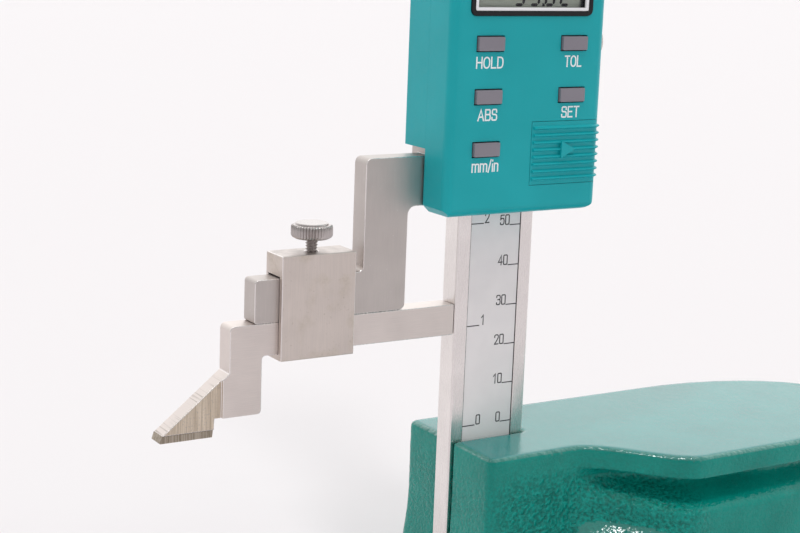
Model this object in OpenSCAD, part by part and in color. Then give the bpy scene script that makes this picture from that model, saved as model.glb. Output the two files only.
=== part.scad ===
// Digital height gauge: cast base, graduated beam, slider with readout, clamped scriber and
// fine adjustment. Millimetres, +Z up. The origin lies on the base's underside, under the beam.
// X runs from the scriber to the base's grip end, and Y from the readout's face to its back.

/* [Reading] */
// Height of the scriber's measuring edge above the surface plate, as the display shows it
reading = 53.82; // [10:0.01:60]
// Greatest height that the gauge measures
measuring_range = 300; // [290:1:310]

/* [Base] */
// Height of the casting
base_h = 44.5; // [43:0.5:46]
// Beam's middle plane to the near side of the neck that holds it
neck_near = 19.8; // [18:0.2:22]
// Beam's middle plane to the far side of the casting
base_far = 17.4; // [17:0.2:20]
// Beam's middle plane to the near side of the wide grip
grip_near = 39.8; // [36:0.2:44]
// Beam's centre line to the round end of the grip
base_reach = 117; // [110:1:125]
// Length of the round end
end_round_len = 50; // [44:1:56]
// Start of the wave that widens the neck into the grip, from the beam's centre line
wave_start = 14; // [13.5:0.5:18]
// Length of that wave
wave_len = 26; // [20:1:28]
// Thickness of the rim above the finger groove
rim_t = 5.6; // [4:0.2:8]
// Height of the foot, up to where its flare ends
foot_h = 26; // [24:0.5:27]
// Length of the wave in the foot, where it is steeper than in the rim
foot_wave_len = 13; // [10:1:16]
// Height at which the flank starts to bend in towards the finger groove
shoulder_z = 29.5; // [28.5:0.5:30.5]
// Height at which the finger groove is deepest
waist_z = 36.5; // [36:0.1:37]
// Depth of the finger groove on the near side
near_groove = 6.5; // [5:0.5:9]
// How much later the groove's back wall bends outwards than the rim above it
groove_lag = 8; // [5:1:10]
// Depth of the finger groove on the far side
far_groove = 5; // [2:0.5:7]
// Depth of the finger groove at the round end
end_groove = 9; // [6:0.5:12]
// How far the foot flares round the neck
neck_flare = 3; // [2:0.2:3.4]
// How far the foot stands out under the grip
grip_flare = 1; // [0.4:0.2:2]
// Radius of the top edge
base_edge_r = 1.2; // [0.8:0.2:2.4]
// Radius of the two upright corners of the neck
neck_corner_r = 1.6; // [1:0.2:4]
// Depth of the relief in the underside
relief_d = 1.2; // [0.6:0.2:2]
// Width of the ground border round that relief
relief_border = 14; // [12:0.5:16]

/* [Beam] */
// Width of the beam
beam_w = 22; // [21.4:0.2:22.6]
// Thickness of the beam
beam_t = 6; // [5.8:0.1:6.4]
// Beam left free above the carriage at the greatest height
beam_spare = 4.8; // [4:0.2:8]
// Casting left under the beam
slot_floor = 4; // [3:0.5:6]
// How far the beam stands out of the neck's end face
beam_proud = 0.8; // [0.6:0.1:1]
// Gap on the near side of the beam in its slot
slot_gap = 0.4; // [0.2:0.1:0.8]
// Width of each ground rail beside the scale
rail_w = 3.7; // [3.2:0.1:4]
// Chamfer on the beam's long edges
beam_chamfer = 0.4; // [0.2:0.1:0.6]
// Depth of the recess for the scale
recess_d = 1.2; // [1:0.1:1.6]
// Thickness of the printed strip
strip_t = 0.3; // [0.2:0.05:0.4]
// How far the strip lies below the rails
strip_below = 0.2; // [0.1:0.05:0.3]
// Diameter of the bolts that hold the beam
beam_bolt_d = 5; // [4:0.5:6]
// Height of the lower beam bolt
beam_bolt_z = 14; // [12:0.5:16]
// Distance between the beam bolts
beam_bolt_pitch = 18; // [14:0.5:20]
// Height of the stop on the beam's top end
stop_h = 14; // [12:0.5:16]
// Wall of that stop
stop_wall = 2.5; // [2:0.1:3]

/* [Jaw] */
// Thickness of the jaw and of the scriber
jaw_t = 5.5; // [5:0.1:5.8]
// Gap between the jaw's leg and the beam
throat_w = 14.4; // [13:0.2:16]
// Width of the jaw's leg
jaw_leg_w = 11.7; // [10:0.1:13]
// Height of the upper arm that joins the slider
upper_arm_h = 11.8; // [10:0.1:13]
// Height of the lower arm that carries the clamp
lower_arm_h = 10.1; // [9:0.1:11]
// Length of the lower arm beyond the leg
lower_arm_len = 27.95; // [26.5:0.05:30]
// Opening between the two arms
throat_h = 14.65; // [13:0.05:17]

/* [Scriber] */
// Height of the scriber's bar
bar_h = 7.6; // [6.6:0.1:9]
// Height of the bar's underside above the measuring edge
bar_drop = 17.82; // [17.4:0.02:19]
// Width of the scriber's leg
scriber_leg_w = 8.1; // [7:0.1:9]
// Gap between the jaw's end and the right side of that leg
scriber_offset = 2.15; // [1.8:0.05:2.6]
// Length of the nose beyond the leg
nose_len = 16.5; // [14:0.5:19]
// Length of the measuring edge
edge_len = 12.7; // [11:0.1:14]
// Height of the leg's underside above the measuring edge
leg_lift = 4.2; // [3.6:0.1:5]
// Height at which the nose's slope leaves the leg
slope_top = 14.5; // [13:0.1:15.5]
// Height of the hard tip
tip_h = 1.65; // [1.2:0.05:2]
// Depth of the flat ground on the near side of the nose
nose_grind = 0.7; // [0.4:0.1:1]

/* [Clamp] */
// Width of the clamp box
clamp_w = 19.1; // [17:0.1:20]
// Gap between the clamp and the jaw's leg
clamp_gap = 2.8; // [2.6:0.1:4]
// Near wall of the clamp
clamp_near_wall = 1.4; // [1:0.1:2]
// Far wall of the clamp
clamp_far_wall = 0.9; // [0.8:0.1:1.6]
// Floor of the clamp
clamp_floor = 1.4; // [1.2:0.1:2]
// Roof of the clamp, which holds the screw
clamp_roof = 4.95; // [4:0.05:6]
// Diameter of the clamp screw's thread
clamp_thread_d = 3; // [2.5:0.5:4]
// Bare thread between the clamp and its knob
clamp_screw_gap = 3.05; // [2:0.05:4]
// Diameter of the knurled knobs
knob_d = 9.7; // [9:0.1:10.4]
// Height of a knob without its raised face
knob_h = 3.3; // [2.8:0.1:4]

/* [Readout case] */
// Width of the case
case_w = 43.6; // [43:0.2:46]
// Height of the case
case_h = 79.5; // [79:0.5:84]
// Height of the case's underside above the measuring edge
case_z = 48.7; // [48.3:0.1:49.4]
// Beam's near face to the case's front
case_depth = 10.5; // [10.2:0.1:11.5]
// Gap between the beam's near face and the joint of the case's two halves
split_gap = 0.6; // [0.5:0.05:0.8]
// Beam's far face to the case's back
case_back = 3.8; // [3.7:0.1:4.4]
// Wall of the case
wall = 1.6; // [1.4:0.05:1.7]
// Height of the rear cover's lower edge above the case's underside
rear_cover_z = 15.1; // [14:0.1:16]
// Radius of the front edges
case_edge_r = 2.3; // [1:0.1:2.4]
// Radius of the case's corners
case_corner_r = 4; // [2.5:0.1:4.2]

/* [Display and buttons] */
// Width of the display's bezel
bezel_w = 34.4; // [33:0.2:35]
// Height of the display's bezel, as a share of the case's height
bezel_share = 0.2088; // [0.19:0.0002:0.213]
// Height of the bezel's lower edge above the case's underside, as a share of the case's height
bezel_place = 0.5855; // [0.58:0.0005:0.592]
// Width of the bezel's band
bezel_band = 1.15; // [0.9:0.05:1.5]
// Width of a button
button_w = 7.1; // [6.4:0.1:7.2]
// Height of a button
button_h = 3.2; // [2.6:0.1:3.6]
// How far a button stands out of the case
button_proud = 0.7; // [0.65:0.05:1.2]
// How far a button can be pressed
button_travel = 0.6; // [0.3:0.05:0.65]
// Case's middle to the middle of a column of buttons
button_x = 11.9; // [11.4:0.1:12]
// Height of the lowest row of buttons above the case's underside, as a share of the case's height
button_place = 0.1987; // [0.192:0.0005:0.206]
// Distance between the lower rows of buttons, as a share of the case's height
button_step = 0.1535; // [0.151:0.0005:0.1545]
// Height of the row above the display, as a share of the case's height
top_row_place = 0.8994; // [0.894:0.0002:0.905]

/* [Battery] */
// Diameter of the button cell
cell_d = 11.6; // [11:0.1:12]
// Thickness of the button cell
cell_t = 5.2; // [4.8:0.1:5.4]
// Case's middle to the left edge of the battery door
door_x = 1.5; // [0.5:0.1:2]
// Height of the door's lower edge above the case's underside
door_z = 6.8; // [6.4:0.1:7.2]
// Height of the battery door
door_h = 15; // [14.4:0.1:15.4]
// Distance between the door's ridges
ridge_pitch = 1.72; // [1.6:0.02:1.8]
// How far the ridges stand out
ridge_proud = 0.6; // [0.3:0.05:0.7]

/* [Fine adjustment] */
// Gap between the readout case and the carriage
carriage_gap = 9; // [8:0.5:10]
// Height of the carriage
carriage_h = 22; // [20:0.5:24]
// Height of the window that holds the nut
nut_window_h = 10; // [8:0.5:11]
// Diameter of the knurled nut
nut_d = 9.8; // [8:0.1:9.9]
// Diameter of the threaded rod and of the lock screws
rod_d = 4; // [3:0.1:4.4]
// Beam's left edge to the rod's axis
rod_offset = 5.4; // [5.2:0.05:5.6]

/* [Clearances] */
// Gap of a sliding face
slide_gap = 0.05; // [0.03:0.01:0.08]
// Gap all round a piece that moves in a cut-out
cutout_gap = 0.1; // [0.06:0.01:0.15]
// Radial gap of a screw in its hole
thread_gap = 0.04; // [0.02:0.01:0.08]

/* [Hidden] */
$fn = 48;
over = 1;
arc_steps = 5;

// Beam and base
beam_x = beam_w / 2;
beam_y = beam_t / 2;
neck_end_x = beam_x - beam_proud;
wave_end = wave_start + wave_len;
end_start = base_reach - end_round_len;
end_mid_y = (base_far - grip_near) / 2;
end_half = (base_far + grip_near) / 2;
waist_near = grip_near - near_groove;
waist_mid_y = (base_far - far_groove - waist_near) / 2;
waist_half = (base_far - far_groove + waist_near) / 2;
rim_z = base_h - rim_t;
foot_chamfer = 0.8;
bolt_head_d = 1.7 * beam_bolt_d;
bolt_seat_y = base_far - beam_bolt_d - 0.9;
bolt_tip_y = -beam_y + recess_d + 0.8;
strip_w = beam_w - 2 * rail_w;
strip_z0 = base_h - 3;
strip_front = -beam_y + strip_below;
stop_cap = 2;
stop_screw_d = 3;
stop_screw_x = beam_x - rail_w - 1;

// Jaw and scriber, with heights counted from the measuring edge
jaw_near = -beam_y;
jaw_far = jaw_near + jaw_t;
bar_top = bar_drop + bar_h;
lower_arm_top = bar_top + lower_arm_h;
upper_arm_z = lower_arm_top + throat_h;
upper_arm_top = upper_arm_z + upper_arm_h;
leg_right = -beam_x - throat_w;
leg_left = leg_right - jaw_leg_w;
jaw_end = leg_left - lower_arm_len;
bar_right = -beam_x - 0.3;
scriber_right = jaw_end + scriber_offset;
scriber_left = scriber_right - scriber_leg_w;
nose_tip = scriber_left - nose_len;
edge_right = nose_tip + edge_len;
nose_slope = (slope_top - tip_h) / nose_len;
clamp_right = leg_left - clamp_gap;
clamp_left = clamp_right - clamp_w;
clamp_mid = (clamp_left + clamp_right) / 2;
clamp_side_gap = 0.15;
clamp_near = jaw_near - clamp_side_gap - clamp_near_wall;
clamp_far = jaw_far + clamp_side_gap + clamp_far_wall;
clamp_slot_z0 = bar_drop - slide_gap;
clamp_slot_z1 = lower_arm_top + 0.35;
clamp_z0 = clamp_slot_z0 - clamp_floor;
clamp_z1 = clamp_slot_z1 + clamp_roof;
jaw_mid = (jaw_near + jaw_far) / 2;

// Readout case
case_x = case_w / 2;
case_top = case_z + case_h;
case_front = -beam_y - case_depth;
split_y = -beam_y - split_gap;
back_y = beam_y + case_back;
inner_x = case_x - wall;
inner_front = case_front + wall;
inner_back = back_y - wall;
case_foot_cut = 1.1 * wall;
bezel_h = case_h * bezel_share;
bezel_z = case_h * bezel_place;
button_z = case_h * button_place;
button_pitch = case_h * button_step;
top_row_z = case_h * top_row_place;

// Slider frame
frame_x = inner_x - 0.2;
frame_z0 = case_z + wall + 0.3;
frame_top = case_top - wall - 0.3;
frame_back = inner_back - 0.2;
lip_t = 1.4;
lip_front = -beam_y - slide_gap - lip_t;
lip_in = beam_x - rail_w + 0.7;
gib_t = 1.2;
gib_x = beam_x + slide_gap;
gib_seat = gib_x + gib_t + slide_gap;
gib_z0 = upper_arm_z + 2;
gib_screw_d = 3;
gib_screw_inset = 6;
gib_screw_place = 0.78;
gib_screw_z = [upper_arm_z + gib_screw_inset, case_z + gib_screw_place * case_h];
lock_place = 0.497;
lock_reach = 3.3;
lock_z = case_z + lock_place * case_h;
pad_t = 1.2;
case_screw_d = 2;
case_screw_x = inner_x - 1.9;
case_screw_z = [case_z + door_z + door_h + 3.4, case_z + bezel_z + bezel_h + 3.3];
case_screw_head = 1;
boss_r = 1.75;

// Board, display and cell
board_t = 1;
board_back = lip_front;
board_front = board_back - board_t;
board_x = case_screw_x - boss_r - 0.65;
board_z0 = case_z + wall + 1;
board_z1 = case_top - wall - 0.5;
stator_gap = 0.3;
stator_x = lip_in - 0.4;
stator_end = 0.145;
stator_z = [case_z + 1.5 * stator_end * case_h, case_z + (1 - stator_end) * case_h];
board_screw_d = 1.6;
board_screw_x = gib_seat + 1;
board_screw_z = [board_z0 + 1.9, board_z1 - 1.6];
panel_x = bezel_w / 2 + 0.8;
panel_t = 2.4;
panel_front = inner_front;
connector_t = 2;
bezel_proud = 0.4;
window_t = 1.2;
window_gap = 0.3;
dome_t = 0.8;
dome_d = 4.4;
button_gap = 0.28;
flange = 0.9;
side_flange = 0.4;
button_shift = 0.5;
flange_t = 0.7;
stem_d = 2.6;
cell_x = (door_x + inner_x) / 2;
cell_z = case_z + door_z + door_h / 2;
contact_t = 0.3;
tongue = 0.8;
tongue_t = 0.5;
ridges = floor((door_h - 2) / ridge_pitch) + 1;
arrow = 4.1;
arrow_x = cell_x + 1;
arrow_z = cell_z + 0.8;
arrow_proud = 0.95;

// Fine adjustment
carriage_z = case_top + carriage_gap;
carriage_mid = carriage_z + carriage_h / 2;
carriage_ear = 10;
carriage_cheek = 8;
carriage_left = -beam_x - carriage_ear;
carriage_right = beam_x + carriage_cheek;
carriage_back = beam_y + 3;
carriage_front = -beam_y - 2;
rod_x = -beam_x - rod_offset;
rod_sunk = 9;
rod_root = frame_top - rod_sunk;
rod_end = 4;
rod_top = carriage_z + carriage_h + rod_end;
nut_play = 0.1;
stop_z = measuring_range + carriage_z + carriage_h + beam_spare;
beam_top = stop_z + stop_h - stop_cap;
stop_screw_z = (stop_z + beam_top) / 2;

// Points of an arc that rounds the corner p between its neighbours a and b
function unit(v) = v / norm(v);
function corner_arc(a, p, b, r) =
    let (
        u = unit(a - p),
        v = unit(b - p),
        half = acos(u * v) / 2,
        c = p + unit(u + v) * r / sin(half),
        s = p + u * r / tan(half) - c,
        e = p + v * r / tan(half) - c,
        a0 = atan2(s[1], s[0]),
        turn = atan2(e[1], e[0]) - a0,
        sweep = turn > 180 ? turn - 360 : turn < -180 ? turn + 360 : turn
    )
    [for (k = [0:arc_steps]) c + r * [cos(a0 + sweep * k / arc_steps), sin(a0 + sweep * k / arc_steps)]];

// Outline with each corner [x, y, r] rounded to its own radius
function rounded(pts) =
    let (n = len(pts), q = [for (p = pts) [p[0], p[1]]])
    [for (i = [0:n - 1]) each pts[i][2] > 0
        ? corner_arc(q[(i + n - 1) % n], q[i], q[(i + 1) % n], pts[i][2]) : [q[i]]];

function box_outline(x0, z0, x1, z1, r = 0) = rounded([[x0, z0, r], [x1, z0, r], [x1, z1, r], [x0, z1, r]]);

// Box between two corners
module box(a, b) {
    translate(a) cube(b - a);
}

// Outline drawn in X and Z, pushed from y0 to y1
module plate_y(y0, y1) {
    translate([0, y1, 0]) rotate([90, 0, 0]) linear_extrude(y1 - y0) children();
}

// Outline drawn in Y and Z, pushed from x0 to x1
module plate_x(x0, x1) {
    translate([x0, 0, 0]) rotate([90, 0, 90]) linear_extrude(x1 - x0) children();
}

// Rod along Y or along X
module rod_y(x, z, y0, y1, d) {
    translate([x, y1, z]) rotate([90, 0, 0]) cylinder(d = d, h = y1 - y0);
}
module rod_x_dir(y, z, x0, x1, d) {
    translate([x0, y, z]) rotate([0, 90, 0]) cylinder(d = d, h = x1 - x0);
}

// Pieces of the slider are drawn from the measuring edge up and lifted to the reading
module at_reading() {
    translate([0, 0, reading]) children();
}

// Straight-knurled band between two chamfered rims
module knurled_band(d, h, rim) {
    teeth = round(d * 4);
    depth = 0.3;
    root_d = d - 2 * depth - 0.2;
    cylinder(d1 = root_d - 1.2, d2 = root_d, h = rim);
    translate([0, 0, rim]) linear_extrude(h - 2 * rim) polygon([for (k = [0:2 * teeth - 1])
        (d / 2 - (k % 2) * depth) * [cos(180 * k / teeth), sin(180 * k / teeth)]]);
    translate([0, 0, h - rim]) cylinder(d1 = root_d, d2 = root_d - 1.2, h = rim);
}

// Thumb screw along +Z: shank below the origin, knurled knob above it
module thumb_screw(shank_d, shank_len) {
    rim = 0.5;
    cap_d = 0.8 * knob_d;
    cap_rise = 0.3;
    translate([0, 0, -shank_len]) cylinder(d = shank_d, h = shank_len + over);
    knurled_band(knob_d, knob_h, rim);
    translate([0, 0, knob_h - over]) cylinder(d = cap_d, h = cap_rise + over);
}

// Socket-head screw along -Z: head above the origin, shank below it
module socket_screw(d, shank_len, head_h) {
    head_d = 1.7 * d;
    difference() {
        union() {
            cylinder(d = head_d, h = head_h);
            translate([0, 0, -shank_len]) cylinder(d = d, h = shank_len + over / 2);
        }
        translate([0, 0, head_h / 2]) cylinder(d = 0.95 * d, h = head_h, $fn = 6);
    }
}

// Base casting: a loft through three outlines with matching points
function blend(u) = u < 0 ? 0 : u > 1 ? 1 : (1 - cos(180 * u)) / 2;
function wave(x) = blend((x - wave_start) / wave_len);
function foot_wave(x) = blend((x - wave_start) / foot_wave_len);
function flare(x) = neck_flare + (grip_flare - neck_flare) * foot_wave(x);
wave_steps = 16;
end_steps = 20;
corner_steps = 4;
near_xs = [for (k = [0:wave_steps]) wave_start + wave_len * k / wave_steps];
far_xs = [for (k = [0:wave_steps]) wave_end - wave_len * k / wave_steps];
end_angles = [for (k = [0:end_steps]) -90 + 180 * k / end_steps];
corner_angles = [for (k = [0:corner_steps]) 90 * k / corner_steps];

function neck_corners(grow, far) =
    let (r = neck_corner_r, cy = far ? base_far - r : -neck_near + r, start = far ? 90 : 180)
    [for (a = corner_angles) [-neck_end_x + r, cy] + (r + grow) * [cos(start + a), sin(start + a)]];
function rim_outline() = concat(
    neck_corners(0, false),
    [for (x = near_xs) [x, -neck_near - (grip_near - neck_near) * wave(x)]],
    [for (a = end_angles) [end_start + end_round_len * cos(a), end_mid_y + end_half * sin(a)]],
    [for (x = far_xs) [x, base_far]],
    neck_corners(0, true));
function waist_outline() = concat(
    neck_corners(0, false),
    [for (x = near_xs) [x, -neck_near - (waist_near - neck_near) * wave(x - groove_lag)]],
    [for (a = end_angles) [end_start + (end_round_len - end_groove) * cos(a),
        waist_mid_y + waist_half * sin(a)]],
    [for (x = far_xs) [x, base_far - far_groove * wave(x)]],
    neck_corners(0, true));
// Foot at a height: its flare and its own wave run out towards its upper edge
function foot_outline(z) =
    let (
        share = pow((foot_h - z) / (foot_h - foot_chamfer), 1.5),
        own = blend((foot_h - z) / foot_shelf))
    concat(
        neck_corners(neck_flare * share, false),
        [for (x = near_xs) [x, -neck_near - flare(x) * share
            - (grip_near - neck_near) * (wave(x) + (foot_wave(x) - wave(x)) * own)]],
        [for (a = end_angles) [end_start + (end_round_len + grip_flare * share) * cos(a),
            end_mid_y + (end_half + grip_flare * share) * sin(a)]],
        [for (x = far_xs) [x, base_far + flare(x) * share]],
        neck_corners(neck_flare * share, true));

// Outline moved inwards by d along its own normals
function inset(pts, d) =
    let (n = len(pts))
    [for (i = [0:n - 1]) let (t = unit(pts[(i + 1) % n] - pts[(i + n - 1) % n])) pts[i] + d * [-t[1], t[0]]];
function mix(a, b, u) = [for (i = [0:len(a) - 1]) a[i] + (b[i] - a[i]) * u];
function ring(pts, z) = [for (p = pts) [p[0], p[1], z]];

foot_shelf = 7;
foot_steps = 6;
foot_zs = concat([foot_chamfer, (foot_h - foot_shelf) / 2],
    [for (k = [0:foot_steps]) foot_h - foot_shelf * (1 - k / foot_steps)]);
groove_steps = 10;
ceiling_steps = 4;
edge_steps = 3;
base_rings =
    let (rim = rim_outline(), waist = waist_outline())
    concat(
        [ring(inset(foot_outline(foot_chamfer), foot_chamfer), 0)],
        [for (z = foot_zs) ring(foot_outline(z), z)],
        [for (k = [0:groove_steps]) let (u = k / groove_steps)
            ring(mix(rim, waist, blend(u)), shoulder_z + (waist_z - shoulder_z) * u)],
        [for (k = [1:ceiling_steps]) let (a = 90 * k / ceiling_steps)
            ring(mix(rim, waist, cos(a)), waist_z + (rim_z - waist_z) * sin(a))],
        [for (k = [0:edge_steps]) let (a = 90 * k / edge_steps)
            ring(inset(rim, base_edge_r * (1 - cos(a))), base_h - base_edge_r * (1 - sin(a)))]);

module loft(rings) {
    n = len(rings[0]);
    m = len(rings);
    sides = [for (j = [0:m - 2], i = [0:n - 1]) each
        [[j * n + i, (j + 1) * n + i, (j + 1) * n + (i + 1) % n],
         [j * n + i, (j + 1) * n + (i + 1) % n, j * n + (i + 1) % n]]];
    // Each end is closed by strips from the near side to the matching points of the far side
    strips = [for (i = [0:floor(n / 2) - 1]) each i + 1 < n - 2 - i
        ? [[i, i + 1, n - 1 - i], [i + 1, n - 2 - i, n - 1 - i]] : [[i, i + 1, n - 1 - i]]];
    top = [for (f = strips) [for (k = [2, 1, 0]) (m - 1) * n + f[k]]];
    polyhedron([for (r = rings) each r], concat(strips, sides, top));
}

module beam_bolt_holes(d) {
    for (k = [0, 1]) rod_y(0, beam_bolt_z + k * beam_bolt_pitch, bolt_tip_y, base_far + over, d);
}

module base_casting() {
    relief_x0 = wave_start + relief_border / 2;
    color("#1e8472") difference() {
        loft(base_rings);
        box([-neck_end_x - neck_flare - over, -beam_y - slot_gap, slot_floor],
            [beam_x + slide_gap, beam_y, base_h + over]);
        beam_bolt_holes(beam_bolt_d + 0.5);
        for (k = [0, 1])
            rod_y(0, beam_bolt_z + k * beam_bolt_pitch, bolt_seat_y, base_far + bolt_head_d,
                bolt_head_d + 0.8);
        translate([0, 0, -over]) linear_extrude(relief_d + over)
            polygon(box_outline(relief_x0, -grip_near + relief_border, end_start + end_round_len / 2,
                base_far - relief_border / 2, 4));
    }
}

module beam() {
    c = beam_chamfer;
    sw = strip_w / 2;
    color("#b9b0a6") difference() {
        translate([0, 0, slot_floor]) linear_extrude(beam_top - slot_floor) polygon([
            [-beam_x + c, -beam_y], [-sw, -beam_y], [-sw, -beam_y + recess_d], [sw, -beam_y + recess_d],
            [sw, -beam_y], [beam_x - c, -beam_y], [beam_x, -beam_y + c], [beam_x, beam_y - c],
            [beam_x - c, beam_y], [-beam_x + c, beam_y], [-beam_x, beam_y - c], [-beam_x, -beam_y + c]]);
        beam_bolt_holes(beam_bolt_d + 2 * thread_gap);
        for (s = [-1, 1]) rod_y(s * stop_screw_x, stop_screw_z, -beam_y + recess_d + 0.6, beam_y + over,
            stop_screw_d + 2 * thread_gap);
    }
}

// Strip that lies in the beam's recess between two depths
module recess_strip(y0, y1) {
    side = strip_w / 2 - slide_gap;
    box([-side, y0, strip_z0], [side, y1, stop_z - 0.5]);
}

module grating() {
    color("#3c5a46") recess_strip(strip_front + strip_t, -beam_y + recess_d);
}

module scale_strip() {
    color("#e6e6ea") recess_strip(strip_front, strip_front + strip_t);
}

module beam_bolts() {
    shank = bolt_seat_y - bolt_tip_y - 0.3;
    color("#3a3a3c") for (k = [0, 1])
        translate([0, bolt_seat_y, beam_bolt_z + k * beam_bolt_pitch]) rotate([-90, 0, 0])
            socket_screw(beam_bolt_d, shank, beam_bolt_d);
}

module end_stop() {
    x = beam_x + stop_wall;
    y = beam_y + stop_wall;
    color("#2a2c2e") difference() {
        translate([0, 0, stop_z]) linear_extrude(stop_h) polygon(box_outline(-x, -y, x, y, 1.5));
        box([-beam_x - slide_gap, -beam_y - slide_gap, stop_z - over],
            [beam_x + slide_gap, beam_y + slide_gap, beam_top]);
        for (s = [-1, 1])
            rod_y(s * stop_screw_x, stop_screw_z, beam_y - over, y + over, stop_screw_d + 2 * thread_gap);
    }
}

module end_stop_screws() {
    shank = beam_t + stop_wall - recess_d - 0.8;
    color("#8c8c90") for (s = [-1, 1])
        translate([s * stop_screw_x, beam_y + stop_wall, stop_screw_z]) rotate([-90, 0, 0])
            socket_screw(stop_screw_d, shank, 2);
}

// Slider: channel round the beam with the cranked jaw on its left cheek
module jaw_outline() {
    polygon(rounded([
        [jaw_end, bar_top, 0.6], [leg_right, bar_top, 1.5], [leg_right, upper_arm_z, 2],
        [-beam_x - 3, upper_arm_z, 0], [-beam_x - 3, upper_arm_top, 0], [leg_left, upper_arm_top, 1.5],
        [leg_left, lower_arm_top, 1.2], [jaw_end, lower_arm_top, 0.9]]));
}

module slider_frame() {
    near = -beam_y - slide_gap;
    far = beam_y + slide_gap;
    left = -beam_x - slide_gap;
    color("#b4aaa0") at_reading() difference() {
        union() {
            plate_y(jaw_near, jaw_far) jaw_outline();
            translate([0, 0, frame_z0]) linear_extrude(frame_top - frame_z0) polygon([
                [-frame_x, lip_front], [-lip_in, lip_front], [-lip_in, near], [left, near], [left, far],
                [gib_seat, far], [gib_seat, near], [lip_in, near], [lip_in, lip_front],
                [frame_x, lip_front], [frame_x, frame_back], [-frame_x, frame_back]]);
        }
        for (z = gib_screw_z) rod_x_dir(0, z, gib_seat - over, frame_x + over, gib_screw_d + 2 * thread_gap);
        rod_x_dir(0, lock_z, gib_seat - over, frame_x + over, rod_d + 2 * thread_gap);
        for (s = [-1, 1], z = case_screw_z)
            rod_y(s * case_screw_x, z, lip_front - over, frame_back + over, case_screw_d + 0.3);
        for (s = [-1, 1], z = board_screw_z)
            rod_y(s * board_screw_x, z, lip_front - over, lip_front + 4, board_screw_d + 2 * thread_gap);
        translate([rod_x, 0, rod_root]) cylinder(d = rod_d + 2 * thread_gap, h = frame_top);
    }
}

module gib_strip() {
    color("#b08d46") at_reading()
        box([gib_x, -beam_y + 0.2, gib_z0], [gib_x + gib_t, beam_y - 0.2, frame_top - 2]);
}

module gib_screws() {
    color("#77777a") at_reading() for (z = gib_screw_z) difference() {
        rod_x_dir(0, z, gib_x + gib_t, frame_x - 1, gib_screw_d);
        translate([frame_x - 2.5, 0, z]) rotate([0, 90, 0]) cylinder(d = 1.7, h = 3, $fn = 6);
    }
}

module lock_pad() {
    color("#b08d46") at_reading()
        rod_x_dir(0, lock_z, gib_x + gib_t, gib_x + gib_t + pad_t, rod_d - 0.1);
}

// Rod of a lock screw starts behind its pad, and its knob stands beside what it locks
module lock_screw(z, pad_end, face_x) {
    tip = pad_end + slide_gap;
    translate([face_x, 0, z]) rotate([0, 90, 0]) thumb_screw(rod_d, face_x - tip);
}

module slider_lock_screw() {
    color("#aaa6a2") at_reading() lock_screw(lock_z, gib_x + gib_t + pad_t, case_x + lock_reach);
}

// Outline of the case seen from the front: cut corner at the lower left, round ones elsewhere
module case_outline() {
    polygon(rounded([
        [-case_x, case_z + case_foot_cut, 0.8], [-case_x + case_foot_cut, case_z, 0.8],
        [case_x, case_z, case_corner_r], [case_x, case_top, case_corner_r],
        [-case_x, case_top, case_corner_r]]));
}

module case_bosses(y0, y1, r) {
    for (s = [-1, 1], z = case_screw_z) rod_y(s * case_screw_x, z, y0, y1, 2 * r);
}

function button_places() =
    let (left = button_shift - button_x, right = button_shift + button_x)
    [[left, button_z + 2 * button_pitch], [left, button_z + button_pitch], [left, button_z],
    [right, button_z + 2 * button_pitch], [right, button_z + button_pitch],
    [left, top_row_z], [right, top_row_z]];

module front_housing() {
    e = case_edge_r;
    g = cutout_gap;
    z0 = case_z + door_z;
    color("#2299a2") at_reading() difference() {
        intersection() {
            plate_y(case_front, split_y) case_outline();
            translate([0, 0, case_z - over]) linear_extrude(case_h + 2 * over) polygon(rounded([
                [-case_x, case_front, e], [case_x, case_front, e],
                [case_x, split_y, 0], [-case_x, split_y, 0]]));
            plate_x(-case_x, case_x) polygon(rounded([
                [case_front, case_z, e], [split_y, case_z, 0],
                [split_y, case_top, 0], [case_front, case_top, e]]));
        }
        difference() {
            box([-inner_x, inner_front, case_z + wall], [inner_x, split_y + over, case_top - wall]);
            case_bosses(case_front, lip_front, boss_r);
        }
        case_bosses(inner_front + 1, split_y + over, case_screw_d / 2 + thread_gap);
        plate_y(case_front - over, inner_front + over)
            polygon(box_outline(-bezel_w / 2 - slide_gap, case_z + bezel_z - slide_gap,
                bezel_w / 2 + slide_gap, case_z + bezel_z + bezel_h + slide_gap, 1.5));
        for (p = button_places()) translate([p[0], 0, case_z + p[1]])
            box([-button_w / 2 - button_gap, case_front - over, -button_h / 2 - button_gap],
                [button_w / 2 + button_gap, inner_front + over, button_h / 2 + button_gap]);
        box([door_x - g, case_front - over, z0 - g], [case_x + over, inner_front + over, z0 + door_h + g]);
        box([inner_x - over, case_front - over, z0 - g], [case_x + over, split_y + over, z0 + door_h + g]);
        box([inner_x - over, inner_front - g, z0 - tongue - g],
            [case_x + over, inner_front + tongue_t + g, z0 + door_h + tongue + g]);
    }
}

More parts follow.
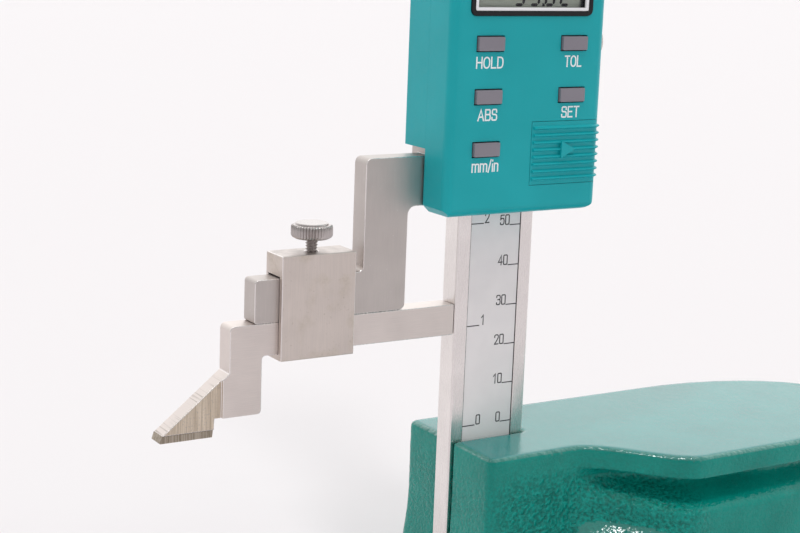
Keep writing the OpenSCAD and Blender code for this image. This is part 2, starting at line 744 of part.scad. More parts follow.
module rear_cover() {
    c = 1.5;
    z0 = case_z + rear_cover_z;
    color("#2299a2") at_reading() difference() {
        intersection() {
            translate([0, 0, z0]) linear_extrude(case_top - z0) polygon([
                [-case_x, split_y], [case_x, split_y], [case_x, back_y - c], [case_x - c, back_y],
                [-case_x + c, back_y], [-case_x, back_y - c]]);
            plate_y(split_y - over, back_y + over) case_outline();
        }
        box([-inner_x, split_y - over, z0 - over], [inner_x, inner_back, case_top - wall]);
        box([-beam_x - 0.6, split_y - over, z0], [beam_x + 0.6, beam_y + 0.6, case_top + over]);
        translate([rod_x, 0, frame_top]) cylinder(d = rod_d + 0.8, h = case_top);
        rod_x_dir(0, lock_z, inner_x - over, case_x + over, rod_d + 1);
        rod_x_dir(0, gib_screw_z[1], inner_x - over, case_x + over, gib_screw_d + 1);
        case_bosses(inner_back - over, back_y + over, case_screw_d / 2 + 0.15);
        case_bosses(back_y - case_screw_head, back_y + over, case_screw_d);
    }
}

module case_screws() {
    seat = back_y - case_screw_head;
    color("#77777a") at_reading() for (s = [-1, 1], z = case_screw_z)
        translate([s * case_screw_x, seat, z]) rotate([-90, 0, 0]) difference() {
            union() {
                cylinder(d = 1.9 * case_screw_d, h = case_screw_head);
                translate([0, 0, inner_front + 1.5 - seat])
                    cylinder(d = case_screw_d, h = seat - inner_front - 1.5 + case_screw_head / 2);
            }
            for (a = [0, 90]) rotate(a) translate([-1.2, -0.25, case_screw_head / 2]) cube([2.4, 0.5, 1]);
        }
}

// Board with the sensing face behind it, close to the scale
module sensor_board() {
    color("#2c6a3c") at_reading() difference() {
        union() {
            box([-board_x, board_front, board_z0], [board_x, board_back, board_z1]);
            box([-stator_x, board_back - 0.2, stator_z[0]],
                [stator_x, strip_front - stator_gap, stator_z[1]]);
        }
        for (s = [-1, 1], z = board_screw_z)
            rod_y(s * board_screw_x, z, board_front - over, board_back + over, board_screw_d + 0.2);
    }
}

module board_screws() {
    head_h = 0.8;
    color("#9a9a9c") at_reading() for (s = [-1, 1], z = board_screw_z) {
        rod_y(s * board_screw_x, z, board_front - head_h, board_front, 2.8);
        rod_y(s * board_screw_x, z, board_front - head_h / 2, lip_front + 3.5, board_screw_d);
    }
}

module display_panel() {
    z0 = case_z + bezel_z - 0.7;
    color("#aab4a6") at_reading()
        box([-panel_x, panel_front, z0], [panel_x, panel_front + panel_t, z0 + bezel_h + 1.4]);
}

module display_connectors() {
    edge = 1.2;
    z0 = case_z + bezel_z;
    color("#5a5a60") at_reading() for (z = [z0 + edge, z0 + bezel_h - edge - connector_t])
        box([-board_x + 1, panel_front + panel_t, z], [board_x - 1, board_front, z + connector_t]);
}

module display_window() {
    b = bezel_band + slide_gap;
    x = bezel_w / 2 - b;
    z0 = case_z + bezel_z;
    color("#d8dcd8", 0.5) at_reading() plate_y(inner_front - window_t, inner_front - window_gap)
        polygon(box_outline(-x, z0 + b, x, z0 + bezel_h - b, 0.5));
}

module display_bezel() {
    b = bezel_band;
    x = bezel_w / 2;
    z0 = case_z + bezel_z;
    color("#141416") at_reading() plate_y(case_front - bezel_proud, inner_front) difference() {
        polygon(box_outline(-x, z0, x, z0 + bezel_h, 1.5));
        polygon(box_outline(-x + b, z0 + b, x - b, z0 + bezel_h - b, 0.5));
    }
}

module dome_switches() {
    color("#c8c8cc") at_reading() for (p = button_places())
        translate([p[0], board_front, case_z + p[1]]) rotate([90, 0, 0])
            cylinder(d1 = dome_d, d2 = dome_d - 1.2, h = dome_t);
}

module battery_cell() {
    bead = 0.5;
    y1 = board_front - contact_t;
    color("#c4c4c8") at_reading() {
        rod_y(cell_x, cell_z, y1 - cell_t, y1 - bead, cell_d);
        rod_y(cell_x, cell_z, y1 - cell_t / 2, y1, cell_d - 2);
    }
}

module cell_contact_plate() {
    color("#c9a24a") at_reading()
        rod_y(cell_x, cell_z, board_front - contact_t, board_front, 0.7 * cell_d);
}

module cell_contact_spring() {
    x = cell_x - cell_d / 2 - contact_t;
    color("#c9a24a") at_reading() {
        box([x, board_front - cell_t, cell_z - 2], [x + contact_t, board_front, cell_z + 2]);
        box([x - 2, board_front - contact_t, cell_z - 2], [x + contact_t / 2, board_front, cell_z + 2]);
    }
}

module fine_rod() {
    color("#9c9894") at_reading()
        translate([rod_x, 0, rod_root]) cylinder(d = rod_d, h = rod_top - rod_root);
}

// Button k: cap through the case, flange behind its wall and stem down to its switch
module button(k) {
    p = button_places()[k];
    x = p[0];
    z = case_z + p[1];
    hw = button_w / 2;
    hh = button_h / 2;
    flange_y = inner_front + slide_gap;
    color("#7c7884") at_reading() {
        plate_y(case_front - button_proud, flange_y + flange_t / 2)
            polygon(box_outline(x - hw, z - hh, x + hw, z + hh, 0.3));
        box([x - hw - side_flange, flange_y, z - hh - flange],
            [x + hw + side_flange, flange_y + flange_t, z + hh + flange]);
        rod_y(x, z, flange_y + flange_t / 2, board_front - dome_t - button_travel - 0.1, stem_d);
    }
}
module hold_button() { button(0); }
module abs_button() { button(1); }
module unit_button() { button(2); }
module tolerance_button() { button(3); }
module set_button() { button(4); }
module power_button() { button(5); }
module zero_button() { button(6); }

// Door that wraps the case's right front edge and slides off to the right
module battery_door() {
    e = case_edge_r;
    z0 = case_z + door_z;
    side_y = split_y - cutout_gap;
    ridge_z0 = z0 + (door_h - (ridges - 1) * ridge_pitch) / 2;
    color("#2299a2") at_reading() {
        translate([0, 0, z0]) linear_extrude(door_h) polygon(rounded([
            [door_x, case_front, 0], [case_x, case_front, e], [case_x, side_y, 0], [inner_x, side_y, 0],
            [inner_x, inner_front, 0.4], [door_x, inner_front, 0]]));
        box([door_x - tongue, inner_front + slide_gap, z0 - tongue],
            [inner_x - slide_gap, inner_front + tongue_t, z0 + door_h + tongue]);
        box([door_x + 1, inner_front - over, z0 + 1], [inner_x, inner_front + tongue_t, z0 + door_h - 1]);
        for (k = [0:ridges - 1]) translate([0, 0, ridge_z0 + k * ridge_pitch])
            battery_door_ridge(side_y);
        plate_y(case_front - arrow_proud, case_front) translate([arrow_x, arrow_z])
            polygon([[-arrow / 2, -arrow / 2], [arrow / 2, 0], [-arrow / 2, arrow / 2]]);
    }
}

// One ridge, tapered from its root, along the front and round the edge to the side
module battery_door_ridge(side_y) {
    root = 0.27 * ridge_pitch;
    crest = 0.07 * ridge_pitch;
    r = case_edge_r;
    profile = [[0, -root], [ridge_proud, -crest], [ridge_proud, crest], [0, root]];
    plate_x(door_x + 0.5, case_x - r) polygon([for (p = profile) [case_front - p[0], p[1]]]);
    plate_y(case_front + r, side_y) polygon([for (p = profile) [case_x + p[0], p[1]]]);
    translate([case_x - r, case_front + r, 0]) rotate([0, 0, -90]) rotate_extrude(angle = 90)
        polygon([for (p = profile) [r + p[0], p[1]]]);
}

module scriber_clamp() {
    near = jaw_near - clamp_side_gap;
    far = jaw_far + clamp_side_gap;
    color("#b6aca2") at_reading() difference() {
        plate_x(clamp_left, clamp_right) polygon(rounded([
            [clamp_near, clamp_z0, 0.3], [clamp_far, clamp_z0, 0.3],
            [clamp_far, clamp_z1, 0.3], [clamp_near, clamp_z1, 0.3]]));
        box([clamp_left - over, near, clamp_slot_z0], [clamp_right + over, far, clamp_slot_z1]);
        translate([clamp_mid, jaw_mid, clamp_slot_z1 - over])
            cylinder(d = clamp_thread_d + 2 * thread_gap, h = clamp_roof + 2 * over);
    }
}

module clamp_screw() {
    seat = clamp_z1 + clamp_screw_gap;
    color("#a8a6a4") at_reading() translate([clamp_mid, jaw_mid, seat])
        thumb_screw(clamp_thread_d, seat - lower_arm_top - slide_gap);
}

// Outline of the scriber with its tip: bar, leg and sloping nose
module scriber_outline() {
    top = bar_top - slide_gap;
    polygon(rounded([
        [nose_tip, 0, 0], [edge_right, 0, 0], [edge_right + 0.6, leg_lift, 0], [scriber_right, leg_lift, 1],
        [scriber_right, bar_drop, 0.8], [bar_right, bar_drop, 0.3], [bar_right, top, 0.3],
        [scriber_left, top, 1.2], [scriber_left, slope_top, 0],
        [nose_tip + tip_h / nose_slope * 0.25, tip_h, 0]]));
}

module tip_region() {
    polygon([[nose_tip - over, -over], [edge_right + 0.2, -over], [edge_right + 0.2, tip_h],
        [nose_tip - over, tip_h]]);
}

// Near side of the nose, ground back behind a small shoulder
module nose_grind_cut() {
    box([nose_tip - over, jaw_near - over, -over],
        [scriber_left - 1.6, jaw_near + nose_grind, slope_top + over]);
}

module scriber() {
    color("#b4aca4") at_reading() difference() {
        plate_y(jaw_near, jaw_far) difference() {
            scriber_outline();
            tip_region();
        }
        nose_grind_cut();
    }
}

module scriber_tip() {
    color("#6e6862") at_reading() difference() {
        plate_y(jaw_near, jaw_far) intersection() {
            scriber_outline();
            tip_region();
        }
        nose_grind_cut();
    }
}

// Carriage: a second, shorter channel with ears that hold the nut
module fine_carriage() {
    near = -beam_y - slide_gap;
    far = beam_y + slide_gap;
    side = beam_x + slide_gap;
    color("#b4aaa0") at_reading() difference() {
        translate([0, 0, carriage_z]) linear_extrude(carriage_h) polygon(rounded([
            [carriage_left, carriage_front, 1], [-lip_in, carriage_front, 0], [-lip_in, near, 0],
            [-side, near, 0], [-side, far, 0], [side, far, 0], [side, near, 0], [lip_in, near, 0],
            [lip_in, carriage_front, 0], [carriage_right, carriage_front, 1],
            [carriage_right, carriage_back, 1], [carriage_left, carriage_back, 1]]));
        box([carriage_left - over, carriage_front - over, carriage_mid - nut_window_h / 2],
            [-side, carriage_back + over, carriage_mid + nut_window_h / 2]);
        translate([rod_x, 0, carriage_z - over]) cylinder(d = rod_d + 0.8, h = carriage_h + 2 * over);
        rod_x_dir(0, carriage_mid, side - over, carriage_right + over, rod_d + 2 * thread_gap);
    }
}

module carriage_pad() {
    color("#b08d46") at_reading()
        rod_x_dir(0, carriage_mid, beam_x + slide_gap, beam_x + slide_gap + pad_t, rod_d - 0.1);
}

module carriage_lock_screw() {
    color("#aaa6a2") at_reading()
        lock_screw(carriage_mid, beam_x + slide_gap + pad_t, carriage_right + 1.5);
}

module fine_nut() {
    h = nut_window_h - 2 * nut_play;
    rim = 0.6;
    color("#a8a6a4") at_reading() translate([rod_x, 0, carriage_mid - h / 2]) difference() {
        knurled_band(nut_d, h, rim);
        translate([0, 0, -over]) cylinder(d = rod_d + 2 * thread_gap, h = h + 2 * over);
    }
}

base_casting();
beam();
grating();
scale_strip();
beam_bolts();
end_stop();
end_stop_screws();
slider_frame();
gib_strip();
gib_screws();
lock_pad();
front_housing();
rear_cover();
case_screws();
sensor_board();
board_screws();
display_panel();
display_connectors();
display_window();
display_bezel();
dome_switches();
battery_cell();
cell_contact_plate();
cell_contact_spring();
fine_rod();
hold_button();
abs_button();
unit_button();
tolerance_button();
set_button();
power_button();
zero_button();
battery_door();
slider_lock_screw();
scriber_clamp();
clamp_screw();
scriber();
scriber_tip();
fine_carriage();
carriage_pad();
carriage_lock_screw();
fine_nut();
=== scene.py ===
# %% [markdown]
# # A digital height gauge, dressed for a studio photograph
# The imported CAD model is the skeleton: every part is already in its place, in metres.
# This script adds what a solid model has no words for: paint, ground steel, print and
# light. The CAD box is kept from the start, so that the last step can show that nothing grew.

# %% Load the frame
import math

import bmesh
import bpy
import numpy as np
from mathutils import Matrix, Quaternion, Vector, noise


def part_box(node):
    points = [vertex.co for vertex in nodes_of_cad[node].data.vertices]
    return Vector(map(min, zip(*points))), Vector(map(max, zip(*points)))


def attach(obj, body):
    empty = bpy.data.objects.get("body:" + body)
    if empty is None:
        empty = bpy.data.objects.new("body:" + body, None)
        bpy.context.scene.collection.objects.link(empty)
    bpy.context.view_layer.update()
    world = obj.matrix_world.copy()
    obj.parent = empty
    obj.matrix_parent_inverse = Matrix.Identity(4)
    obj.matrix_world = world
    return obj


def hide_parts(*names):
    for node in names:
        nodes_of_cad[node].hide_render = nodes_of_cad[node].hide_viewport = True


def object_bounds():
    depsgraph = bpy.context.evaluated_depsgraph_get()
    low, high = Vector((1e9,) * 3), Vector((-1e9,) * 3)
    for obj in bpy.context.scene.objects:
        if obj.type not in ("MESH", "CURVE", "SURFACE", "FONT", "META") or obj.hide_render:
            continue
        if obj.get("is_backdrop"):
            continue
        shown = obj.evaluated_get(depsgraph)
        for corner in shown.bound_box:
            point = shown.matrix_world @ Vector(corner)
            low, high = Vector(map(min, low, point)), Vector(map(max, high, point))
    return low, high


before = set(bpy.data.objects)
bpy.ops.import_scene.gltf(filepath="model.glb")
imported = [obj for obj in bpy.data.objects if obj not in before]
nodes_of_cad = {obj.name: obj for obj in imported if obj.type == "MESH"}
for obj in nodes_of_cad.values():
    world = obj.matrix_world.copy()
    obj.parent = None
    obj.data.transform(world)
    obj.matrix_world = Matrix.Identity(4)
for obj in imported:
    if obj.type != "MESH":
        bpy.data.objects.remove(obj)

MM = 0.001
scene = bpy.context.scene
scene.view_settings.view_transform = "Standard"
cad_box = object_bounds()
print("CAD nodes:", len(nodes_of_cad), "box in mm:", [[round(v / MM, 1) for v in p] for p in cad_box])

# %% [markdown]
# ## The camera
# A photograph of a known scale can be solved for its camera: the printed millimetres on the
# beam gave the eye's place, the lens and a roll of two degrees. A camera looks along its own
# -Z, so aiming it is one quaternion, and the roll is a second one about the line of sight.

# %% Camera
EYE = Vector((-233.21, -336.88, 171.14)) * MM
LINE_OF_SIGHT = Vector((0.5144, 0.8332, -0.2031))
ROLL = math.radians(2.15)
LENS = 76.515

camera_data = bpy.data.cameras.new("bench_camera")
camera_data.lens = LENS
camera = bpy.data.objects.new("bench_camera", camera_data)
camera.rotation_mode = "QUATERNION"
camera.location = EYE
camera.rotation_quaternion = LINE_OF_SIGHT.to_track_quat("-Z", "Y") @ Quaternion((0, 0, 1), ROLL)
scene.collection.objects.link(camera)
scene.camera = camera
print("camera", round((EYE - Vector(cad_box[0])).length / MM), "mm from the box's low corner")

# %% [markdown]
# ## Soft studio light
# The gauge stood in a white tent in front of a bright backdrop. The backdrop is what makes
# the flat top of the base so pale: at a shallow angle the gloss paint mirrors it. A world
# whose brightness depends on direction gives tent and backdrop. Two weak lamps high above, one
# to the left and one in front, put the small glints on edges and on the hammered paint.

# %% Tent and lamps
IN_FRONT, BEHIND = 0.5, 1.5
TOWARDS_BACKDROP = Vector((0.72, 0.69, 0))
BRIGHTENS_FROM, BRIGHTENS_TO = -0.5, 0.85
LAMPS = {"left_lamp": (0.4, 0.12, -0.905), "front_lamp": (0.08, 0.35, -0.93)}
LAMP_ENERGY = 0.45
LAMP_ANGLE = math.radians(7)

world = bpy.data.worlds.new("white_tent")
world.use_nodes = True
scene.world = world
tent = world.node_tree
direction = tent.nodes.new("ShaderNodeTexCoord")
away = tent.nodes.new("ShaderNodeVectorMath")
away.operation = "DOT_PRODUCT"
away.inputs[1].default_value = TOWARDS_BACKDROP
depth = tent.nodes.new("ShaderNodeMapRange")
depth.interpolation_type = "SMOOTHSTEP"
depth.inputs["From Min"].default_value = BRIGHTENS_FROM
depth.inputs["From Max"].default_value = BRIGHTENS_TO
depth.inputs["To Min"].default_value = IN_FRONT
depth.inputs["To Max"].default_value = BEHIND
grey = tent.nodes.new("ShaderNodeCombineColor")
tent.links.new(direction.outputs["Generated"], away.inputs[0])
tent.links.new(away.outputs["Value"], depth.inputs["Value"])
for channel in ("Red", "Green", "Blue"):
    tent.links.new(depth.outputs["Result"], grey.inputs[channel])
tent.links.new(grey.outputs["Color"], tent.nodes["Background"].inputs["Color"])

for name, ray in LAMPS.items():
    lamp_data = bpy.data.lights.new(name, "SUN")
    lamp_data.energy = LAMP_ENERGY
    lamp_data.angle = LAMP_ANGLE
    lamp = bpy.data.objects.new(name, lamp_data)
    lamp.rotation_mode = "QUATERNION"
    lamp.rotation_quaternion = Vector(ray).to_track_quat("-Z", "Y")
    scene.collection.objects.link(lamp)
print("tent from", IN_FRONT, "in front to", BEHIND, "behind, lamps:", len(LAMPS))

# %% [markdown]
# ## Finishes: the shared tools
# Each finish is a Principled shader with its constant values set on the sockets, and three
# things that vary over the surface: colour, polish and relief. All of them read the same
# kind of noise, taken in object space, so the grain has a real size in millimetres and moves
# with the piece.

# %% Tools for a finish
def finish(name, **plain):
    """A new material, with sockets such as Transmission_Weight set to plain values."""
    material = bpy.data.materials.new(name)
    material.use_nodes = True
    shader = material.node_tree.nodes["Principled BSDF"]
    for socket, value in plain.items():
        shader.inputs[socket.replace("_", " ")].default_value = value
    return material


def grain(material, per_mm, stretch=(1, 1, 1), detail=2.0):
    """Noise with so many features per millimetre, stretched along an axis by a small factor."""
    tree = material.node_tree
    place = tree.nodes.new("ShaderNodeTexCoord")
    mapping = tree.nodes.new("ShaderNodeMapping")
    mapping.inputs["Scale"].default_value = [s * per_mm / MM for s in stretch]
    texture = tree.nodes.new("ShaderNodeTexNoise")
    texture.inputs["Scale"].default_value = 1
    texture.inputs["Detail"].default_value = detail
    tree.links.new(place.outputs["Object"], mapping.inputs["Vector"])
    tree.links.new(mapping.outputs["Vector"], texture.inputs["Vector"])
    return texture.outputs["Fac"]


print("a finish starts with its plain values, and a grain with its size")

# %% Colour, polish and relief
NOISE_LOW, NOISE_HIGH = 0.3, 0.7


def tint(material, source, dark, light):
    """The colour runs from dark to light with the noise."""
    tree = material.node_tree
    ramp = tree.nodes.new("ShaderNodeValToRGB")
    for stop, position, colour in zip(ramp.color_ramp.elements, (NOISE_LOW, NOISE_HIGH), (dark, light)):
        stop.position = position
        stop.color = (*colour, 1)
    tree.links.new(source, ramp.inputs["Fac"])
    tree.links.new(ramp.outputs["Color"], tree.nodes["Principled BSDF"].inputs["Base Color"])


def polish(material, source, smooth, dull):
    """The roughness runs from smooth to dull with the noise."""
    tree = material.node_tree
    span = tree.nodes.new("ShaderNodeMapRange")
    span.inputs["From Min"].default_value = NOISE_LOW
    span.inputs["From Max"].default_value = NOISE_HIGH
    span.inputs["To Min"].default_value = smooth
    span.inputs["To Max"].default_value = dull
    tree.links.new(source, span.inputs["Value"])
    tree.links.new(span.outputs["Result"], tree.nodes["Principled BSDF"].inputs["Roughness"])


def relief(material, source, height_mm, strength=1.0):
    """Bump of a real height; a second call adds to the first."""
    tree = material.node_tree
    bump = tree.nodes.new("ShaderNodeBump")
    bump.inputs["Distance"].default_value = height_mm * MM
    bump.inputs["Strength"].default_value = strength
    normal = tree.nodes["Principled BSDF"].inputs["Normal"]
    if normal.is_linked:
        tree.links.new(normal.links[0].from_socket, bump.inputs["Normal"])
    tree.links.new(source, bump.inputs["Height"])
    tree.links.new(bump.outputs["Normal"], normal)


print("noise from", NOISE_LOW, "to", NOISE_HIGH, "drives colour, polish and relief")

# %% [markdown]
# ## Masks
# A real surface isn't the same all over: stains, wear and pits sit in places of their own. A mask
# is a value from 0 to 1 that says where. It can come from noise or from a place along an axis,
# two masks multiply into one, and a patch of another colour shows through a mask.

# %% Masks and patches
# The Mix node has a first, a second and a result socket for each kind of data.
VALUE_SOCKETS, COLOUR_SOCKETS = (2, 3, 0), (6, 7, 2)


def blend(material, first, second, share):
    """A mix of two values, with a fixed share of the second."""
    tree = material.node_tree
    first_in, second_in, result = VALUE_SOCKETS
    mix = tree.nodes.new("ShaderNodeMix")
    mix.inputs["Factor"].default_value = share
    tree.links.new(first, mix.inputs[first_in])
    tree.links.new(second, mix.inputs[second_in])
    return mix.outputs[result]


def spots(material, source, start, end):
    """A mask that is 0 where a value hasn't reached start and 1 where it is past end."""
    tree = material.node_tree
    span = tree.nodes.new("ShaderNodeMapRange")
    span.inputs["From Min"].default_value = start
    span.inputs["From Max"].default_value = end
    tree.links.new(source, span.inputs["Value"])
    return span.outputs["Result"]


def past(material, axis, from_mm, to_mm):
    """A mask that is 0 before one place along an axis and 1 past another, in object space."""
    tree = material.node_tree
    place = tree.nodes.new("ShaderNodeTexCoord")
    parts = tree.nodes.new("ShaderNodeSeparateXYZ")
    tree.links.new(place.outputs["Object"], parts.inputs["Vector"])
    return spots(material, parts.outputs[axis], from_mm * MM, to_mm * MM)


def both(material, first, second):
    """The product of two masks: 1 only where both are 1."""
    tree = material.node_tree
    product = tree.nodes.new("ShaderNodeMath")
    product.operation = "MULTIPLY"
    tree.links.new(first, product.inputs[0])
    tree.links.new(second, product.inputs[1])
    return product.outputs["Value"]


def patch(material, mask, source, dark, light):
    """Where the mask is 1, the colour runs from dark to light with another noise."""
    tree = material.node_tree
    first_in, second_in, result = COLOUR_SOCKETS
    colour = tree.nodes["Principled BSDF"].inputs["Base Color"]
    below = colour.links[0].from_socket
    tint(material, source, dark, light)
    mix = tree.nodes.new("ShaderNodeMix")
    mix.data_type = "RGBA"
    tree.links.new(mask, mix.inputs["Factor"])
    tree.links.new(below, mix.inputs[first_in])
    tree.links.new(colour.links[0].from_socket, mix.inputs[second_in])
    tree.links.new(mix.outputs[result], colour)


print("masks: spots in a noise, past a place, both of two; a patch shows through a mask")

# %% [markdown]
# ## Floor
# The gauge stands on a pale paper sweep; painted shade makes it a little dimmer towards the
# camera. One wide disc is enough, because the camera looks down so steeply that it never sees past its
# edge.

# %% Floor
FLOOR_RADIUS = 6.0
FLOOR_SIDES = 96
FLOOR_GAP = 0.05 * MM
NEAR_MM, FAR_MM = -400, 300
SHADED_NEAR_PAPER, FAR_PAPER = (0.715, 0.68, 0.70), (0.80, 0.77, 0.78)
SWEEP_SHARE = 0.85

paper = finish("paper_sweep", Roughness=0.75)
# Painted shade: the paper's colour darkens towards the camera.
sweep = blend(paper, grain(paper, 0.02), past(paper, "Y", NEAR_MM, FAR_MM), SWEEP_SHARE)
tint(paper, sweep, SHADED_NEAR_PAPER, FAR_PAPER)
floor_mesh = bpy.data.meshes.new("floor")
ring = bmesh.new()
bmesh.ops.create_circle(ring, cap_ends=True, segments=FLOOR_SIDES, radius=FLOOR_RADIUS)
ring.to_mesh(floor_mesh)
ring.free()
floor = bpy.data.objects.new("floor", floor_mesh)
floor.location.z = -FLOOR_GAP
floor_mesh.materials.append(paper)
scene.collection.objects.link(floor)
floor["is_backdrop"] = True
print("floor radius", FLOOR_RADIUS, "m")

# %% [markdown]
# ## Ground steel
# The beam, jaw, clamp and scriber are ground: a wheel leaves thousands of parallel scratches
# along one direction. An anisotropic shader could fake that, but it needs tangents. Noise
# that is stretched fifty times along the wheel's path shows real lines up close, and spreads
# the highlight from afar. The bevels along the edges get a brighter steel of their own, a
# painted highlight that stands in for the glint of a lamp on each edge.

# %% Ground steel
GRIND_STRETCH = 0.02
ALONG = {"x": (GRIND_STRETCH, 1, 1), "y": (1, GRIND_STRETCH, 1), "z": (1, 1, GRIND_STRETCH)}
CLOUDS_PER_MM = 0.12
LINE_SHARE = 0.6
DARKER, LIGHTER = 0.88, 1.06


def ground_steel(name, colour, axis, lines_per_mm=9.0, smooth=0.27, dull=0.43, depth_mm=0.004):
    """Steel with grinding lines along one axis and faint clouds."""
    steel = finish(name, Metallic=1.0)
    lines = grain(steel, lines_per_mm, ALONG[axis], detail=3.0)
    shades = blend(steel, grain(steel, CLOUDS_PER_MM), lines, LINE_SHARE)
    tint(steel, shades, [DARKER * c for c in colour], [LIGHTER * c for c in colour])
    polish(steel, lines, smooth, dull)
    relief(steel, lines, depth_mm)
    return steel


beam_steel = ground_steel("beam_steel", (0.835, 0.79, 0.77), "z", smooth=0.2, dull=0.34)
jaw_steel = ground_steel("jaw_steel", (0.59, 0.54, 0.515), "z", 7.0, 0.4, 0.55)
clamp_steel = ground_steel("clamp_steel", (0.695, 0.62, 0.575), "z", 6.0, 0.38, 0.54)
scriber_steel = ground_steel("scriber_steel", (0.75, 0.68, 0.645), "x", 8.0, 0.36, 0.52)
carriage_steel = ground_steel("carriage_steel", (0.64, 0.59, 0.565), "x")
hard_metal = ground_steel("hard_metal", (0.46, 0.40, 0.33), "z", 4.0, 0.3, 0.5, 0.012)
turned_steel = ground_steel("turned_steel", (0.52, 0.48, 0.465), "z", 5.0, 0.22, 0.34, 0.002)
screw_steel = ground_steel("screw_steel", (0.42, 0.41, 0.41), "y", 5.0, 0.25, 0.4, 0.002)
# A brighter steel for the bevels: a painted highlight along the edges.
painted_edge_highlight = ground_steel("painted_edge_highlight", (0.86, 0.815, 0.795), "z", 5.0, 0.2, 0.32, 0.002)
dark_steel = ground_steel("dark_steel", (0.06, 0.06, 0.065), "y", 5.0, 0.3, 0.45, 0.002)
print("ground metals:", [m.name for m in bpy.data.materials if m != paper])

# %% [markdown]
# ## Marks of use on the jaw, the clamp and the scriber
# The clamp is handled most, so its flats are clouded by yellowish stains and fine dark specks,
# and its top is clouded darker. A few bright specks lie on the jaw. The scriber's nose was ground by hand
# towards its edge: the streaks run down, and the heat of the wheel left a straw colour on its
# front. Masks by position keep each mark in its place.

# %% Marks of use
STRAW_DARK, STRAW_LIGHT = (0.48, 0.395, 0.30), (0.78, 0.68, 0.56)
NOSE_START_MM, NOSE_SEAM_MM = -72.6, 0.2
FRONT_SKIN_MM = 0.35, 0.2
CLAMP_TOP_SKIN_MM = 0.12, 0.06
nose_front_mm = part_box("scriber_tip")[0].y / MM

stains = spots(clamp_steel, grain(clamp_steel, 0.16, detail=4.0), 0.48, 0.72)
patch(clamp_steel, stains, grain(clamp_steel, 1.5), (0.55, 0.48, 0.41), (0.66, 0.585, 0.515))
specks = spots(clamp_steel, grain(clamp_steel, 1.4, detail=4.0), 0.66, 0.78)
patch(clamp_steel, specks, grain(clamp_steel, 3.0), (0.50, 0.435, 0.38), (0.60, 0.53, 0.475))

clamp_top_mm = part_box("scriber_clamp")[1].z / MM
on_clamp_top = past(clamp_steel, "Z", *(clamp_top_mm - skin for skin in CLAMP_TOP_SKIN_MM))
top_clouds = grain(clamp_steel, 0.5, detail=4.0)
patch(clamp_steel, on_clamp_top, top_clouds, (0.50, 0.455, 0.43), (0.66, 0.60, 0.57))
dust = spots(jaw_steel, grain(jaw_steel, 2.0, detail=1.0), 0.74, 0.78)
patch(jaw_steel, dust, grain(jaw_steel, 3.0), (0.72, 0.68, 0.66), (0.86, 0.83, 0.81))

streaks = grain(scriber_steel, 4.5, ALONG["z"], detail=4.0)
on_nose = past(scriber_steel, "X", NOSE_START_MM + NOSE_SEAM_MM, NOSE_START_MM - NOSE_SEAM_MM)
on_front = past(scriber_steel, "Y", *(nose_front_mm + skin for skin in FRONT_SKIN_MM))
patch(scriber_steel, both(scriber_steel, on_nose, on_front), streaks, STRAW_DARK, STRAW_LIGHT)
flecks = spots(scriber_steel, grain(scriber_steel, 2.2, ALONG["y"], detail=3.0), 0.57, 0.7)
nose_flecks = both(scriber_steel, on_nose, flecks)
patch(scriber_steel, nose_flecks, streaks, (0.42, 0.37, 0.335), (0.54, 0.485, 0.445))
scratches = spots(hard_metal, grain(hard_metal, 3.0, ALONG["z"], detail=3.0), 0.45, 0.6)
patch(hard_metal, scratches, grain(hard_metal, 6.0), (0.20, 0.165, 0.12), (0.34, 0.29, 0.23))
print("nose front at y =", round(nose_front_mm, 2), "mm")

# %% [markdown]
# ## Base paint
# The casting has one thick coat of gloss paint, which shines in three ways. On the flat top it
# ran smooth, and only a fine orange peel is left. The walls mirror less, and where the neck
# widens they show the hammered skin of the sand mould, with pits just under a millimetre wide.
# Painted shade darkens the hollows of the pits, and a painted highlight lightens their crests.
# On the rim's edge and on the shelf of the foot the coat is wavy and glossiest, and catches the
# lamps. Three paints of nearly one colour can do that, and meet without a seam.

# %% Base paint
# The hammered skin comes in along X over the first pair, and going back, over the second.
WIDENING_MM = (-14, -2), (46, 34)
BELOW_RIM_MM = 42.5, 34
PIT_MM = 0.65
DIMPLE_MM = 0.22 * PIT_MM


def gloss_paint(name, gloss, dark, light, smooth, dull):
    """Green gloss paint with a fine orange peel."""
    paint = finish(name, IOR=gloss)
    tint(paint, blend(paint, grain(paint, 0.08), grain(paint, 2.4), 0.4), dark, light)
    polish(paint, grain(paint, 0.5), smooth, dull)
    relief(paint, grain(paint, 1.9, detail=3.0), 0.04, 0.8)
    return paint


wall_paint = gloss_paint("wall_paint", 1.36, (0.001, 0.215, 0.175), (0.002, 0.30, 0.245), 0.07, 0.15)
top_paint = gloss_paint("top_paint", 1.6, (0.001, 0.198, 0.186), (0.002, 0.255, 0.238), 0.1, 0.19)
edge_paint = gloss_paint("edge_paint", 1.9, (0.001, 0.18, 0.147), (0.002, 0.26, 0.212), 0.07, 0.15)
relief(edge_paint, grain(edge_paint, 0.9, detail=1.0), 0.3)
relief(top_paint, grain(top_paint, 2.6, detail=3.0), 0.03)

pits = grain(wall_paint, 1.25, detail=2.0)
widening = both(wall_paint, *(past(wall_paint, "X", *span) for span in WIDENING_MM))
hammered = both(wall_paint, widening, past(wall_paint, "Z", *BELOW_RIM_MM))
relief(wall_paint, grain(wall_paint, 1.05, detail=1.0), DIMPLE_MM)
relief(wall_paint, both(wall_paint, hammered, pits), PIT_MM)
# Painted shade: the paint is darker in the hollows of the pits, where less light reaches.
painted_shade_in_pits = both(wall_paint, hammered, spots(wall_paint, pits, 0.5, 0.36))
patch(wall_paint, painted_shade_in_pits, grain(wall_paint, 3.0), (0.0005, 0.14, 0.112), (0.001, 0.195, 0.157))
